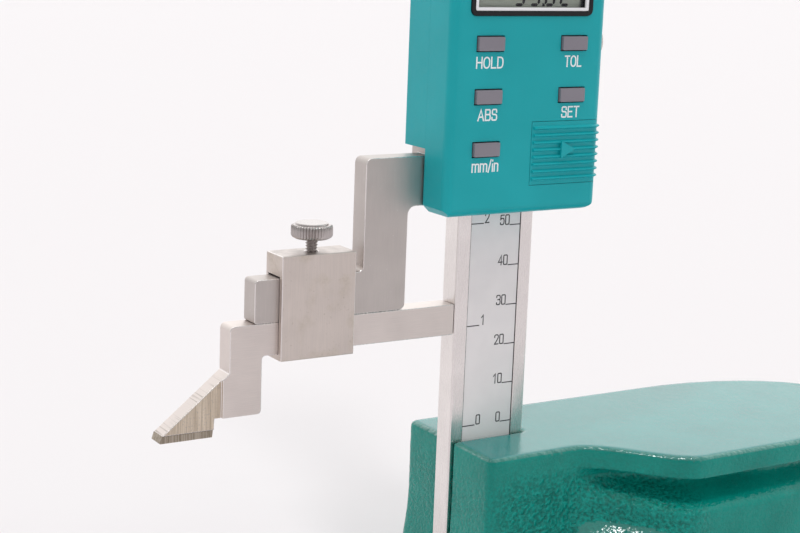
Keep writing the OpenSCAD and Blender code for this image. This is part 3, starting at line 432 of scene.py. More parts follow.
# Painted highlight: the paint is lighter on the crests of the pits.
painted_light_on_crests = both(wall_paint, hammered, spots(wall_paint, pits, 0.53, 0.66))
patch(wall_paint, painted_light_on_crests, grain(wall_paint, 3.0), (0.002, 0.32, 0.263), (0.003, 0.365, 0.302))
print("base paint ready, pits", PIT_MM, "mm deep where the neck widens")

# %% [markdown]
# ## Plastics
# The readout's two halves and the battery door are moulded in one teal plastic with a fine
# spark texture. The buttons are grey, the bezel is glossy black. Moulded texture is far
# finer than the paint's, with four to eight grains to the millimetre.

# %% Plastics
def moulded(name, dark, light, smooth, dull, grains_per_mm=8.0, depth_mm=0.01):
    """A plastic with the fine texture of its mould."""
    plastic = finish(name, IOR=1.36)
    tint(plastic, grain(plastic, 0.06), dark, light)
    polish(plastic, grain(plastic, 0.7), smooth, dull)
    relief(plastic, grain(plastic, grains_per_mm), depth_mm)
    return plastic


teal_plastic = moulded("teal_plastic", (0.004, 0.388, 0.426), (0.007, 0.424, 0.466), 0.3, 0.42, 4.5, 0.02)
key_plastic = moulded("key_plastic", (0.242, 0.226, 0.26), (0.278, 0.26, 0.296), 0.38, 0.5)
relief(key_plastic, grain(key_plastic, 5.0, ALONG["z"]), 0.006)
black_plastic = moulded("black_plastic", (0.006, 0.006, 0.008), (0.012, 0.012, 0.014), 0.16, 0.26)
stop_plastic = moulded("stop_plastic", (0.010, 0.010, 0.012), (0.018, 0.018, 0.020), 0.4, 0.55)
connector_rubber = moulded("connector_rubber", (0.05, 0.05, 0.055), (0.09, 0.09, 0.10), 0.6, 0.8)
white_print = moulded("white_print", (0.92, 0.965, 0.98), (0.95, 0.985, 0.99), 0.45, 0.6)
black_print = moulded("black_print", (0.012, 0.012, 0.016), (0.03, 0.03, 0.036), 0.4, 0.55)
print("plastics and inks ready")

# %% [markdown]
# ## Display, strip and electrics
# The scale is printed on a satin strip. The display is a grey-green liquid crystal under a
# clear window; painted shade darkens it towards its right end. Inside are a green board, a nickel
# cell and gilt contacts. They are seen only when the door slides open, and still get a surface of their
# own.

# %% Display, strip and electrics
SHADE_MM = 15.8, 13.2

strip_face = finish("strip_face", Metallic=0.05, IOR=1.4)
strip_lines = grain(strip_face, 7.0, ALONG["x"])
tint(strip_face, grain(strip_face, 0.15), (0.895, 0.85, 0.855), (0.945, 0.90, 0.90))
polish(strip_face, strip_lines, 0.36, 0.48)
relief(strip_face, strip_lines, 0.003)

crystal = finish("crystal", IOR=1.36)
# Painted shade: the crystal's colour darkens towards its right end.
tint(crystal, past(crystal, "X", *SHADE_MM), (0.03, 0.035, 0.045), (0.44, 0.47, 0.41))
polish(crystal, grain(crystal, 0.5), 0.3, 0.4)
relief(crystal, grain(crystal, 3.0), 0.002)
white_frame = moulded("white_frame", (0.93, 0.93, 0.95), (0.96, 0.96, 0.98), 0.35, 0.5)
window_clear = finish("window_clear", Transmission_Weight=1.0, IOR=1.2, Base_Color=(0.97, 0.98, 0.975, 1))
polish(window_clear, grain(window_clear, 0.2), 0.02, 0.05)
solder_mask = moulded("solder_mask", (0.01, 0.09, 0.03), (0.02, 0.14, 0.05), 0.25, 0.35, 1.5, 0.02)
brass = ground_steel("brass", (0.62, 0.46, 0.20), "z", 5.0, 0.25, 0.4, 0.003)
gilt = ground_steel("gilt", (0.72, 0.53, 0.22), "z", 5.0, 0.2, 0.32, 0.002)
nickel = ground_steel("nickel", (0.66, 0.65, 0.64), "x", 5.0, 0.15, 0.28, 0.002)
print("materials made:", len(bpy.data.materials))

# %% [markdown]
# ## Dressing the CAD nodes
# A CAD edge is infinitely sharp, and no real edge is. The mesh of a node stays as it is, but
# a stack of modifiers sits on it: weld the seams of the export, dissolve the triangles
# of flat faces, bevel what is left, and weight the normals by face area, so that the flats
# stay flat and only the bevels catch the light. On the beam, jaw, clamp and scriber the bevel
# gets a brighter steel, a painted highlight along the edge.

# %% Dress a node
WELD_GAP = 0.002 * MM
FLAT_ANGLE = math.radians(0.4)
EDGE_ANGLE = math.radians(35)
EDGE_STEPS = 2


def dress(node, material, edge_mm=0.0, bevel_highlight=None):
    """Gives a CAD node its finish, and a small bevel, which can have a finish of its own."""
    piece = nodes_of_cad[node]
    mesh = piece.data
    mesh.materials.clear()
    mesh.materials.append(material)
    if edge_mm:
        if "custom_normal" in mesh.attributes:
            mesh.attributes.remove(mesh.attributes["custom_normal"])
        mesh.shade_smooth()
        piece.modifiers.new("weld", "WELD").merge_threshold = WELD_GAP
        flats = piece.modifiers.new("flats", "DECIMATE")
        flats.decimate_type = "DISSOLVE"
        flats.angle_limit = FLAT_ANGLE
        edge = piece.modifiers.new("edge", "BEVEL")
        edge.width = edge_mm * MM
        edge.segments = EDGE_STEPS
        edge.limit_method = "ANGLE"
        edge.angle_limit = EDGE_ANGLE
        if bevel_highlight:
            mesh.materials.append(bevel_highlight)
            edge.material = 1
            edge.use_clamp_overlap = False
        piece.modifiers.new("normals", "WEIGHTED_NORMAL").keep_sharp = True


print("edges sharper than", round(math.degrees(EDGE_ANGLE)), "degrees get a bevel")

# %% Dress all nodes
KEYS = [n for n in nodes_of_cad if n.endswith("_button")]
# The finish of each node, and the width of its bevel in millimetres.
FINISHES = {
    "beam": (beam_steel, 0.15), "slider_frame": (jaw_steel, 0.17),
    "scriber_clamp": (clamp_steel, 0.17), "scriber": (scriber_steel, 0.17),
    "scriber_tip": (hard_metal, 0.05), "fine_carriage": (carriage_steel, 0.3),
    "grating": (solder_mask, 0), "scale_strip": (strip_face, 0), "beam_bolts": (dark_steel, 0),
    "end_stop": (stop_plastic, 0.4), "end_stop_screws": (screw_steel, 0), "gib_strip": (brass, 0.1),
    "gib_screws": (screw_steel, 0), "lock_pad": (brass, 0), "front_housing": (teal_plastic, 0.25),
    "rear_cover": (teal_plastic, 0.25), "battery_door": (teal_plastic, 0.15),
    "case_screws": (screw_steel, 0), "sensor_board": (solder_mask, 0), "board_screws": (screw_steel, 0),
    "display_panel": (crystal, 0), "display_connectors": (connector_rubber, 0),
    "display_window": (window_clear, 0), "display_bezel": (black_plastic, 0.15),
    "dome_switches": (nickel, 0), "battery_cell": (nickel, 0), "cell_contact_plate": (gilt, 0),
    "cell_contact_spring": (gilt, 0), "carriage_pad": (brass, 0),
    **{key: (key_plastic, 0.3) for key in KEYS},
}
# Steel parts whose bevels get the brighter steel, a painted edge highlight.
HIGHLIGHTED_BEVELS = ("beam", "slider_frame", "scriber_clamp", "scriber")
for node, (material, edge_mm) in FINISHES.items():
    dress(node, material, edge_mm, painted_edge_highlight if node in HIGHLIGHTED_BEVELS else None)
softened = [node for node, (material, edge_mm) in FINISHES.items() if edge_mm]
print("nodes dressed:", len(FINISHES), "with softened edges:", len(softened))

# %% [markdown]
# ## The base casting
# A casting under thick paint has no sharp edge anywhere, and its skin is lumpy. A voxel
# remesh of the CAD solid gives an even net of small quads; smoothing rounds every edge; and
# then each point is pushed in along its normal by slow noise. The lumps only ever go inward,
# so the casting can't outgrow its CAD box or touch the beam in its slot. The smaller pits
# are left to the paint's relief, because they are finer than the net. At last each face takes
# one of the three paints, by where it lies and how far it looks up.

# %% Even net over the casting
VOXEL = 0.55 * MM
ROUNDING, ROUNDING_STEPS = 0.5, 2


def applied(obj, name):
    """A new mesh of what the object looks like with its modifiers."""
    seen = obj.evaluated_get(bpy.context.evaluated_depsgraph_get())
    mesh = bpy.data.meshes.new_from_object(seen)
    mesh.name = name
    return mesh


rough_cast = bpy.data.objects.new("rough_cast", nodes_of_cad["base_casting"].data.copy())
scene.collection.objects.link(rough_cast)
rough_cast.modifiers.new("weld", "WELD").merge_threshold = WELD_GAP
net = rough_cast.modifiers.new("net", "REMESH")
net.mode = "VOXEL"
net.voxel_size = VOXEL
soft = rough_cast.modifiers.new("soft", "SMOOTH")
soft.factor = ROUNDING
soft.iterations = ROUNDING_STEPS
cast_mesh = applied(rough_cast, "painted_base")
bpy.data.objects.remove(rough_cast)
print("casting net:", len(cast_mesh.polygons), "faces")

# %% Hammered skin
LUMP = 2.2 * MM
LUMP_DEPTH = 0.2 * MM
FINE_SHARE, FINER = 0.5, 2.1
TOP_SHARE = 0.1
PLAIN_SHARE = 0.35
TOP_FACING, UNDERSIDE_FACING = 0.93, -0.7
TOP_MM = 43.5


def vectors(source, field):
    """An array with one row of x, y and z for each item of a mesh's collection."""
    flat = np.empty(len(source) * 3)
    source.foreach_get(field, flat)
    return flat.reshape(-1, 3)


def lump(point):
    """How deep the skin is at a point, from 0 to 1: slow noise and a share of finer noise."""
    mixed = noise.noise(point / LUMP) + FINE_SHARE * noise.noise(point * FINER / LUMP)
    return min(max(0.5 + 0.5 * mixed, 0), 1)


points = vectors(cast_mesh.vertices, "co")
normals = vectors(cast_mesh.vertex_normals, "vector")
lumps = np.array([lump(Vector(point)) for point in points])
(rise_start, rise_end), (fall_end, fall_start) = WIDENING_MM
stations = (rise_start, rise_end, fall_start, fall_end)
zone = np.interp(points[:, 0] / MM, stations, (PLAIN_SHARE, 1, 1, PLAIN_SHARE))
on_top = (normals[:, 2] > TOP_FACING) & (points[:, 2] > TOP_MM * MM)
share = np.where(on_top, TOP_SHARE, zone) * (normals[:, 2] > UNDERSIDE_FACING)
points -= normals * (share * lumps * LUMP_DEPTH)[:, None]
cast_mesh.vertices.foreach_set("co", points.ravel())
cast_mesh.update()
cast_mesh.shade_smooth()
print("deepest lump", round(float((share * lumps).max() * LUMP_DEPTH / MM), 3), "mm")

# %% Paints on the casting
EDGE_FACING = 0.3
SHELF_MM, RIM_MM = 29, 42.5
cast_mesh.materials.clear()
for paint in (wall_paint, top_paint, edge_paint):
    cast_mesh.materials.append(paint)
upward = vectors(cast_mesh.polygon_normals, "vector")[:, 2]
height = vectors(cast_mesh.polygons, "center")[:, 2]
is_top = (upward > TOP_FACING) & (height > TOP_MM * MM)
off_the_wall = (height < SHELF_MM * MM) | (height > RIM_MM * MM)
is_edge = (upward > EDGE_FACING) & off_the_wall & ~is_top
cast_mesh.polygons.foreach_set("material_index", (is_top + 2 * is_edge).astype(np.int32))
painted_base = bpy.data.objects.new("painted_base", cast_mesh)
scene.collection.objects.link(painted_base)
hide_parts("base_casting")
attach(painted_base, "stand")
print("painted faces: top", int(is_top.sum()), "edges", int(is_edge.sum()), "of", len(height))

# %% [markdown]
# ## Knurled screws and the thread
# The knobs are turned, and their straight knurl is pressed in by a toothed wheel; the shank
# carries a real thread. A modelled helix is simple on a lathe grid: the radius of each point
# depends on its height and its angle together. Knob and shank are two such grids in one mesh.

# %% Lathe with teeth and thread
THREAD_STEPS = 8
SHANK_SIDES = 40
TOOTH_STEPS = 4
TIP_SHARE = 0.72
CHAMFER_PITCHES = 0.3


def tooth_wave(turns):
    """0 at a tooth's root and 1 at its crest, for a triangular tooth per turn."""
    return 1 - abs(2 * (turns % 1) - 1)


def turned_skin(rows, sides, radius_at):
    """Points and faces of a closed lathe skin; rows are (height, radius, kind)."""
    skin = []
    for row in rows:
        for k in range(sides):
            angle = 2 * math.pi * k / sides
            radius = radius_at(row, angle)
            skin.append((radius * math.cos(angle), radius * math.sin(angle), row[0]))
    faces = []
    for low in range(0, (len(rows) - 1) * sides, sides):
        high = low + sides
        for k in range(sides):
            after = (k + 1) % sides
            faces.append((low + k, low + after, high + after, high + k))
    faces.append(tuple(range(sides - 1, -1, -1)))
    faces.append(tuple(range((len(rows) - 1) * sides, len(rows) * sides)))
    return skin, faces


def screw_radius(pitch, depth, teeth, tooth_depth):
    """Radius of a lathe row at an angle, with a thread or a knurl where the row's kind says so."""
    def radius_at(row, angle):
        height, radius, kind = row
        turn = angle / (2 * math.pi)
        if kind == "thread":
            return radius - depth * (1 - tooth_wave(height / pitch - turn))
        if kind == "knurl":
            return radius - tooth_depth * (1 - tooth_wave(teeth * turn))
        return radius
    return radius_at


def thread_rows(start, end, radius, pitch):
    """Rows of a threaded shank with a plain chamfer at its tip."""
    steps = int((end - start) / pitch * THREAD_STEPS)
    first = start + CHAMFER_PITCHES * pitch
    thread = [(first + (end - first) * k / steps, radius, "thread") for k in range(steps + 1)]
    return [(start, TIP_SHARE * radius, "plain"), *thread]


print("lathe grids:", SHANK_SIDES, "sides on a shank,", TOOTH_STEPS, "steps to a tooth")

# %% Knobs and joined skins
KNURL_TEETH = 40
KNURL_DEPTH = 0.36 * MM
KNOB_TALL = 3.6 * MM
PITCH = {3: 0.65 * MM, 4: 0.7 * MM}
DEPTH_PITCHES = 0.6
SHANK_END = 0.3 * MM
SHARP_ANGLE = math.radians(32)
# A knob from its foot to its face: shares of the height and of the radius, and the kind of row.
KNOB_PROFILE = (
    (0, 0.4, "plain"), (0, 0.82, "plain"), (0.06, 0.91, "knurl"), (0.14, 0.98, "knurl"),
    (0.22, 1, "knurl"), (0.72, 1, "knurl"), (0.80, 0.975, "knurl"), (0.86, 0.90, "plain"),
    (0.885, 0.83, "plain"), (0.885, 0.80, "plain"), (0.965, 0.79, "plain"), (1, 0.75, "plain"),
    (1, 0.3, "plain"),
)


def knob_rows(base, top, radius):
    """Rows of a knurled knob: a turned foot, the toothed band, and a crowned face."""
    return [(base + up * (top - base), out * radius, kind) for up, out, kind in KNOB_PROFILE]


def foot_of(low, high, axis):
    """The middle of a box's low end along an axis."""
    foot = (low + high) / 2
    foot[axis] = low[axis]
    return foot


def join_skins(name, skins, place, material):
    """One object from several closed skins, set in place by a matrix."""
    points, faces = [], []
    for skin, skin_faces in skins:
        faces += [tuple(i + len(points) for i in f) for f in skin_faces]
        points += skin
    mesh = bpy.data.meshes.new(name)
    mesh.from_pydata(points, [], faces)
    mesh.transform(place)
    mesh.materials.append(material)
    mesh.update()
    mesh.shade_smooth()
    mesh.set_sharp_from_angle(angle=SHARP_ANGLE)
    obj = bpy.data.objects.new(name, mesh)
    scene.collection.objects.link(obj)
    return obj


print("knob rows:", len(KNOB_PROFILE), "knurl teeth:", KNURL_TEETH)

# %% Thumb screws
def knurled_screw(name, node, body, along, thread_mm):
    """A thumb screw in the box of its CAD node; its knob is at the box's high end along the axis."""
    low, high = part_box(node)
    axis = "xyz".index(along)
    length = high[axis] - low[axis]
    knob = max(high[i] - low[i] for i in range(3) if i != axis) / 2
    band = length - KNOB_TALL
    pitch = PITCH[thread_mm]
    radius_at = screw_radius(pitch, DEPTH_PITCHES * pitch, KNURL_TEETH, KNURL_DEPTH)
    rows = thread_rows(0, band + SHANK_END, thread_mm / 2 * MM, pitch)
    shank = turned_skin(rows, SHANK_SIDES, radius_at)
    head = turned_skin(knob_rows(band, length, knob), KNURL_TEETH * TOOTH_STEPS, radius_at)
    turn = Matrix.Rotation(math.radians(90), 4, "Y") if along == "x" else Matrix.Identity(4)
    place = Matrix.Translation(foot_of(low, high, axis)) @ turn
    screw = join_skins(name, [shank, head], place, turned_steel)
    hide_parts(node)
    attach(screw, body)
    return screw


screws = [
    knurled_screw("clamp_thumb_screw", "clamp_screw", "clamp_screw", "z", 3),
    knurled_screw("slider_thumb_screw", "slider_lock_screw", "slider_lock", "x", 4),
    knurled_screw("carriage_thumb_screw", "carriage_lock_screw", "carriage_lock", "x", 4),
]
print("screws:", {s.name: len(s.data.polygons) for s in screws})

# %% [markdown]
# ## Fine feed: threaded rod and knurled nut
# Above the readout a nut turns on a fixed rod and creeps the slider up or down. The rod is
# the same lathe grid with nothing but thread. The nut is a knurled ring, so its skin turns
# inward at both ends and comes back as a bore.

# %% Rod and nut
ROD_PITCH = PITCH[4]
BORE_GAP = 0.1 * MM
Z_AXIS = 2
rod_low, rod_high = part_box("fine_rod")
rod_radius = (rod_high.x - rod_low.x) / 2
rod_place = Matrix.Translation(foot_of(rod_low, rod_high, Z_AXIS))
rod_length = rod_high.z - rod_low.z
rod_shape = screw_radius(ROD_PITCH, DEPTH_PITCHES * ROD_PITCH, KNURL_TEETH, KNURL_DEPTH)
rod_rows = thread_rows(0, rod_length - SHANK_END, rod_radius, ROD_PITCH)
rod_rows.append((rod_length, TIP_SHARE * rod_radius, "plain"))
rod = join_skins("feed_rod", [turned_skin(rod_rows, SHANK_SIDES, rod_shape)], rod_place, turned_steel)
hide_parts("fine_rod")
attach(rod, "slider")

nut_low, nut_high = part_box("fine_nut")
nut_height = nut_high.z - nut_low.z
nut_radius = (nut_high.y - nut_low.y) / 2
nut_bore = rod_radius + BORE_GAP
nut_skin = knob_rows(0, nut_height, nut_radius)[1:-1]
bore_foot, bore_top = (0, nut_bore, "plain"), (nut_height, nut_bore, "plain")
nut_rows = [bore_foot, *nut_skin, bore_top, bore_foot]
nut_points, nut_faces = turned_skin(nut_rows, KNURL_TEETH * TOOTH_STEPS, rod_shape)
nut_place = Matrix.Translation(foot_of(nut_low, nut_high, Z_AXIS))
nut = join_skins("feed_nut", [(nut_points, nut_faces[:-2])], nut_place, turned_steel)
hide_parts("fine_nut")
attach(nut, "fine_nut")
print("rod turns:", round(rod_length / ROD_PITCH), "nut teeth:", KNURL_TEETH)

# %% [markdown]
# ## Lettering drawn with strokes
# Engravers and printers of scales use stroke lettering: each figure is one line of even width.
# A small table holds the lines of the glyphs that are needed, in a box of height one. A line
# marked ~ has its corners cut round twice, and one marked o is also closed. Every line
# becomes a flat ribbon of ink with a real thickness, because a sheet without thickness
# flickers against the surface below it.

# %% Glyphs
CORNER_CUTS = 2
CUT_AT = 0.25, 0.75
# Each glyph's width, and its lines.
GLYPHS = {
    "0": (0.45, "o 0,.3 0,0 .5,0 1,0 1,.3 1,.7 1,1 .5,1 0,1 0,.7"),
    "1": (0.26, "0,.76 .8,1 .8,0"),
    "2": (0.45, "~ 0,.74 0,1 1,1 1,.62 0,0 | 0,0 1,0"),
    "3": (0.45, "~ 0,.8 0,1 1,1 1,.54 .35,.54 | ~ .35,.54 1,.54 1,0 0,0 0,.2"),
    "4": (0.47, ".74,0 .74,1 0,.28 1,.28"),
    "5": (0.45, ".95,1 .12,1 .04,.54 | ~ .04,.54 .3,.66 1,.66 1,0 0,0 0,.18"),
    "6": (0.45, "~ .8,1 .3,.8 0,.5 0,0 1,0 1,.6 .4,.62 0,.5"),
    "7": (0.45, "0,1 1,1 .34,0"),
    "8": (0.45, "o 0,.27 0,0 1,0 1,.27 1,.54 0,.54 | o .06,.77 .06,.54 .94,.54 .94,.77 .94,1 .06,1"),
    "9": (0.45, "~ .2,0 .7,.2 1,.5 1,1 0,1 0,.4 .6,.38 1,.5"),
    "A": (0.62, "0,0 .5,1 1,0 | .18,.32 .82,.32"),
    "B": (0.54, "0,0 0,1 | ~ 0,1 .5,1 .94,1 .94,.54 .5,.54 0,.54 | ~ 0,.54 .5,.54 1,.54 1,0 .5,0 0,0"),
    "D": (0.56, "0,0 0,1 | ~ 0,1 .45,1 .8,.96 1,.72 1,.28 .8,.04 .45,0 0,0"),
    "E": (0.48, "1,1 0,1 0,0 1,0 | 0,.52 .86,.52"),
    "F": (0.46, "0,0 0,1 1,1 | 0,.52 .84,.52"),
    "H": (0.56, "0,0 0,1 | 1,0 1,1 | 0,.52 1,.52"),
    "L": (0.46, "0,1 0,0 1,0"),
    "N": (0.58, "0,0 0,1 1,0 1,1"),
    "O": (0.62, "o .3,0 .7,0 1,.22 1,.78 .7,1 .3,1 0,.78 0,.22"),
    "R": (0.54, "0,0 0,1 | ~ 0,1 .5,1 1,1 1,.5 .5,.5 0,.5 | .45,.5 1,0"),
    "S": (0.52, "~ .95,.76 .95,1 .5,1 .03,1 .03,.55 .5,.53 1,.5 1,0 .5,0 0,0 0,.24"),
    "T": (0.54, "0,1 1,1 | .5,1 .5,0"),
    "Z": (0.52, "0,1 1,1 0,0 1,0"),
    "i": (0.02, "0,0 0,.64 | 0,.95 0,1"),
    "m": (0.78, "0,0 0,.7 | ~ 0,.45 0,.7 .5,.7 .5,.4 .5,0 | ~ .5,.45 .5,.7 1,.7 1,.4 1,0"),
    "n": (0.42, "0,0 0,.7 | ~ 0,.45 0,.7 1,.7 1,.4 1,0"),
    "/": (0.30, "0,-.06 1,1.04"),
}


def glyph_lines(letter):
    """The lines of a glyph as lists of points, each with a flag for a closed one."""
    for line in GLYPHS[letter][1].split("|"):
        marks = line.split()
        kind = marks.pop(0) if marks[0] in "~o" else ""
        points = [Vector([float(v) for v in m.split(",")]) for m in marks]
        closed = kind == "o"
        for _ in range(CORNER_CUTS if kind else 0):
            ends = points + points[:1] if closed else points
            cuts = [p.lerp(q, t) for p, q in zip(ends, ends[1:]) for t in CUT_AT]
            points = cuts if closed else [points[0], *cuts[1:-1], points[-1]]
        yield points, closed


print("glyphs:", "".join(GLYPHS))

# %% Ribbons of ink
INK = 0.02 * MM
MITRE_LIMIT = 0.5


def ribbon(ink, points, closed, width, face, proud=INK):
    """A flat closed band along a line of (x, z) points, on a face that looks towards -Y."""
    count = len(points)
    if not closed:
        start = points[0] + (points[0] - points[1]).normalized() * width / 2
        end = points[-1] + (points[-1] - points[-2]).normalized() * width / 2
        points = [start, *points[1:-1], end]
    rows = []
    for k, point in enumerate(points):
        before = points[k - 1] if k or closed else None
        after = points[(k + 1) % count] if k < count - 1 or closed else None
        coming = (point - before if before else after - point).normalized()
        going = (after - point if after else point - before).normalized()
        side = Vector((-coming.y, coming.x))
        across = (side + Vector((-going.y, going.x))).normalized()
        across *= width / 2 / max(MITRE_LIMIT, across.dot(side))
        borders = (point + across, point - across)
        corners = [(q.x, y, q.y) for q in borders for y in (face - proud, face + INK)]
        rows.append([ink.verts.new(corner) for corner in corners])
    for k in range(count if closed else count - 1):
        a, b = rows[k], rows[(k + 1) % count]
        for i, j in ((0, 2), (2, 3), (3, 1), (1, 0)):
            ink.faces.new((a[i], a[j], b[j], b[i]))
    if not closed:
        for row in (rows[0], rows[-1]):
            ink.faces.new((row[0], row[2], row[3], row[1]))


print("ink thickness", INK / MM, "mm")

# %% Words and bars
LETTER_GAP = 0.07
LAYER_STEP = 0.25


def word(ink, text, centre, height, stroke, width=None):
    """A word of ribbons around a centre; each line of a letter lies a little prouder than the last."""
    rise = height - stroke
    gap = LETTER_GAP * rise + stroke
    natural = sum(GLYPHS[c][0] * rise for c in text) + gap * (len(text) - 1)
    spread = (width - stroke) / natural if width else 1.0
    pen = -natural / 2
    for letter in text:
        wide = GLYPHS[letter][0] * rise
        for layer, (points, closed) in enumerate(glyph_lines(letter)):
            across = [centre[0] + spread * (pen + p.x * wide) for p in points]
            up = [centre[2] + (p.y - 0.5) * rise for p in points]
            line = [Vector(place) for place in zip(across, up)]
            ribbon(ink, line, closed, stroke, centre[1], INK * (1 + LAYER_STEP * layer))
        pen += wide + gap


def bar(ink, low, high):
    """Adds a closed box between two corners."""
    for v in bmesh.ops.create_cube(ink, size=1.0)["verts"]:
        v.co = [low[i] + (v.co[i] + 0.5) * (high[i] - low[i]) for i in range(3)]


def printed(name, ink, material, body):
    """One printed piece from a bmesh, riding on a body."""
    bmesh.ops.recalc_face_normals(ink, faces=ink.faces)
    mesh = bpy.data.meshes.new(name)
    ink.to_mesh(mesh)
    ink.free()
    mesh.materials.append(material)
    obj = bpy.data.objects.new(name, mesh)
    scene.collection.objects.link(obj)
    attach(obj, body)
    return obj


print("letters stand", LETTER_GAP, "of their height apart")

# %% [markdown]
# ## The scale on the beam
# Millimetres run up the right edge, with a mark and a number every ten, and inches up the left
# edge. Both start from the same zero, a little above the base. A fine line frames
# the strip where the print was trimmed.

# %% Scale on the beam
SCALE_ZERO = 47.8 * MM
MARK_LINE = 0.24 * MM
MM_MARK, INCH_MARK = 3.2 * MM, 3.65 * MM
DIGIT_H, DIGIT_PITCH, DIGIT_STROKE = 2.6 * MM, 1.5 * MM, 0.27 * MM
MM_DIGIT_GAP, INCH_DIGIT_GAP = 0.75 * MM, 0.95 * MM
MARK_INSET = 0.02 * MM
LEFT_TRIM, RIGHT_TRIM = 0.1 * MM, 0.18 * MM
LAST_MM, MM_STEP, LAST_INCH = 300, 10, 12
INCH = 25.4 * MM
strip_low, strip_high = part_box("scale_strip")
face = strip_low.y
scale_ink = bmesh.new()


def mark(left, right, z):
    """A line of the scale across a part of the strip."""
    bar(scale_ink, (left, face - INK, z - MARK_LINE / 2), (right, face + INK, z + MARK_LINE / 2))


def number(digits, x, step, z):
    """Digits that stand on a mark, one step apart from x on."""
    for k, digit in enumerate(digits):
        word(scale_ink, digit, (x + k * step, face, z + DIGIT_H / 2), DIGIT_H, DIGIT_STROKE)


for reading in range(0, LAST_MM + 1, MM_STEP):
    z = SCALE_ZERO + reading * MM
    mark(strip_high.x - MARK_INSET - MM_MARK, strip_high.x - MARK_INSET, z)
    number(str(reading)[::-1], strip_high.x - MM_MARK - MM_DIGIT_GAP, -DIGIT_PITCH, z)
for inches in range(LAST_INCH + 1):
    z = SCALE_ZERO + inches * INCH
    mark(strip_low.x + MARK_INSET, strip_low.x + MARK_INSET + INCH_MARK, z)
    number(str(inches), strip_low.x + INCH_MARK + INCH_DIGIT_GAP, DIGIT_PITCH, z)
trims = (strip_low.x, strip_low.x + LEFT_TRIM), (strip_high.x - RIGHT_TRIM, strip_high.x)
for left, right in trims:
    bar(scale_ink, (left, face - INK / 2, strip_low.z), (right, face + INK, strip_high.z))
scale_print = printed("scale_print", scale_ink, black_print, "stand")
print("scale print faces:", len(scale_print.data.polygons))

# %% [markdown]
# ## Legends on the readout
# The words for the buttons are screen printed in white. Their widths and heights are those of the
# real words; the two upper buttons are out of the picture, so their words are a guess.

# %% Legends on the readout
case_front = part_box("front_housing")[0].y
# The word below each button, its width and height, and its distance below the button's middle, in mm.
LEGENDS = {
    "hold_button": ("HOLD", 7.6, 2.75, 4.3), "tolerance_button": ("TOL", 5.0, 2.75, 4.25),
    "abs_button": ("ABS", 5.5, 2.8, 4.15), "set_button": ("SET", 5.3, 2.75, 4.05),
    "unit_button": ("mm/in", 7.5, 2.9, 3.85), "power_button": ("ON/OFF", 9.4, 2.75, 4.3),
    "zero_button": ("ZERO", 7.0, 2.75, 4.3),
}
LEGEND_STROKE = 0.35 * MM
legend_ink = bmesh.new()
for key, (text, width, height, drop) in LEGENDS.items():
    low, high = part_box(key)
    middle = (low + high) / 2
    centre = (middle.x, case_front, middle.z - drop * MM)
    word(legend_ink, text, centre, height * MM, LEGEND_STROKE, width * MM)
printed("key_legends", legend_ink, white_print, "slider")
print("legends:", [w[0] for w in LEGENDS.values()])

# %% [markdown]
# ## Display
# The liquid crystal lies behind the window, and a thin white frame lines the black bezel in
# front of it. The figures of the reading are dark segments on the crystal. The seven segments
# of a figure are six-sided bars, leaning a little, as on every such display.

# %% Display figures
FIGURE_W, FIGURE_H = 3.45 * MM, 8.0 * MM
STROKE = 0.72 * MM
SEGMENT_GAP = 0.12 * MM
SLANT = math.tan(math.radians(6))
SEGMENTS = {"5": "afgcd", "3": "abgcd", "8": "abcdefg", "2": "abged"}
panel_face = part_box("display_panel")[0].y


def segment(ink, a, b, left, foot):
    """One display segment: a six-sided bar between two points of a figure, slanted."""
    a, b = Vector(a), Vector(b)
    along = (b - a).normalized()
    across = Vector((-along.y, along.x)) * STROKE / 2
    tip = along * STROKE / 2
    a, b = a + along * SEGMENT_GAP, b - along * SEGMENT_GAP
    outline = [a, a + tip - across, b - tip - across, b, b - tip + across, a + tip + across]
    front, back = (
        [ink.verts.new((left + p.x + SLANT * p.y, panel_face + y, foot + p.y)) for p in outline]
        for y in (-INK, INK)
    )
    ink.faces.new(front)
    ink.faces.new(back)
    for k in range(len(outline)):
        ink.faces.new((front[k - 1], back[k - 1], back[k], front[k]))


def figure(ink, digit, left, foot):
    """A seven-segment figure at a left edge and a foot."""
    inset = STROKE / 2
    x0, x1 = inset, FIGURE_W - inset - SLANT * FIGURE_H / 2
    z0, z1, z2 = inset, FIGURE_H / 2, FIGURE_H - inset
    ends = {
        "a": ((x0, z2), (x1, z2)), "b": ((x1, z1), (x1, z2)), "c": ((x1, z0), (x1, z1)),
        "d": ((x0, z0), (x1, z0)), "e": ((x0, z0), (x0, z1)), "f": ((x0, z1), (x0, z2)),
        "g": ((x0, z1), (x1, z1)),
    }
    for name in SEGMENTS[digit]:
        segment(ink, *ends[name], left, foot)


print("figures that can be shown:", "".join(SEGMENTS))

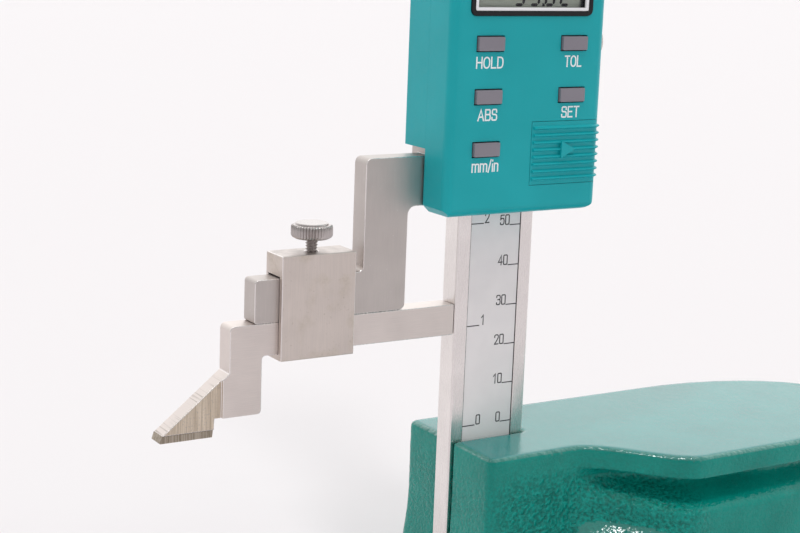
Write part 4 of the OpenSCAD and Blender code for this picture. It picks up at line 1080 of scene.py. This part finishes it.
# %% The reading
WHOLE, PARTS = "53", "82"
FRAME_BAND = 0.72 * MM
FIGURE_PITCH = 4.34 * MM
RIGHT_MARGIN, FOOT_MARGIN = 3.4 * MM, 0.2 * MM
POINT_BEFORE = 0.55 * MM
UNIT_IN, UNIT_DOWN = 2.0 * MM, 1.6 * MM
UNIT_H, UNIT_STROKE, UNIT_W = 1.9 * MM, 0.25 * MM, 3.0 * MM
window_low, window_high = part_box("display_window")
field_right, field_top = window_high.x - FRAME_BAND, window_high.z - FRAME_BAND
figure_foot = window_low.z + FRAME_BAND + FOOT_MARGIN
last_left = field_right - RIGHT_MARGIN - FIGURE_W

reading_ink = bmesh.new()
digits = WHOLE + PARTS
lefts = [last_left - k * FIGURE_PITCH for k in reversed(range(len(digits)))]
for digit, left in zip(digits, lefts):
    figure(reading_ink, digit, left, figure_foot)
point_low = Vector((lefts[len(WHOLE)] - POINT_BEFORE, panel_face - INK, figure_foot))
bar(reading_ink, point_low, point_low + Vector((STROKE, 2 * INK, STROKE)))
unit_centre = (field_right - UNIT_IN, panel_face, field_top - UNIT_DOWN)
word(reading_ink, "mm", unit_centre, UNIT_H, UNIT_STROKE, UNIT_W)
printed("reading_figures", reading_ink, black_print, "slider")
print("display reads", WHOLE + "." + PARTS, "figure height", FIGURE_H / MM, "mm")

# %% White frame
FRAME_PROUD = 0.6 * MM
inset = FRAME_BAND / 2
left, right = window_low.x + inset, window_high.x - inset
foot, top = window_low.z + inset, window_high.z - inset
frame_line = [Vector(corner) for corner in ((left, foot), (right, foot), (right, top), (left, top))]
frame_ink = bmesh.new()
ribbon(frame_ink, frame_line, True, FRAME_BAND, window_low.y, FRAME_PROUD)
printed("white_window_frame", frame_ink, white_frame, "slider")
print("white frame", FRAME_BAND / MM, "mm wide")

# %% [markdown]
# ## Sizes
# The dressed model is meant to stay inside the solids. Both boxes are gathered at the end,
# and the visual one is printed, to be read against the CAD box printed at the start.

# %% Sizes and finish
boxes = {"cad": [list(p) for p in cad_box], "visual": [list(p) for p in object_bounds()]}
print("visual box in mm:", [[round(v / MM, 1) for v in p] for p in boxes["visual"]])
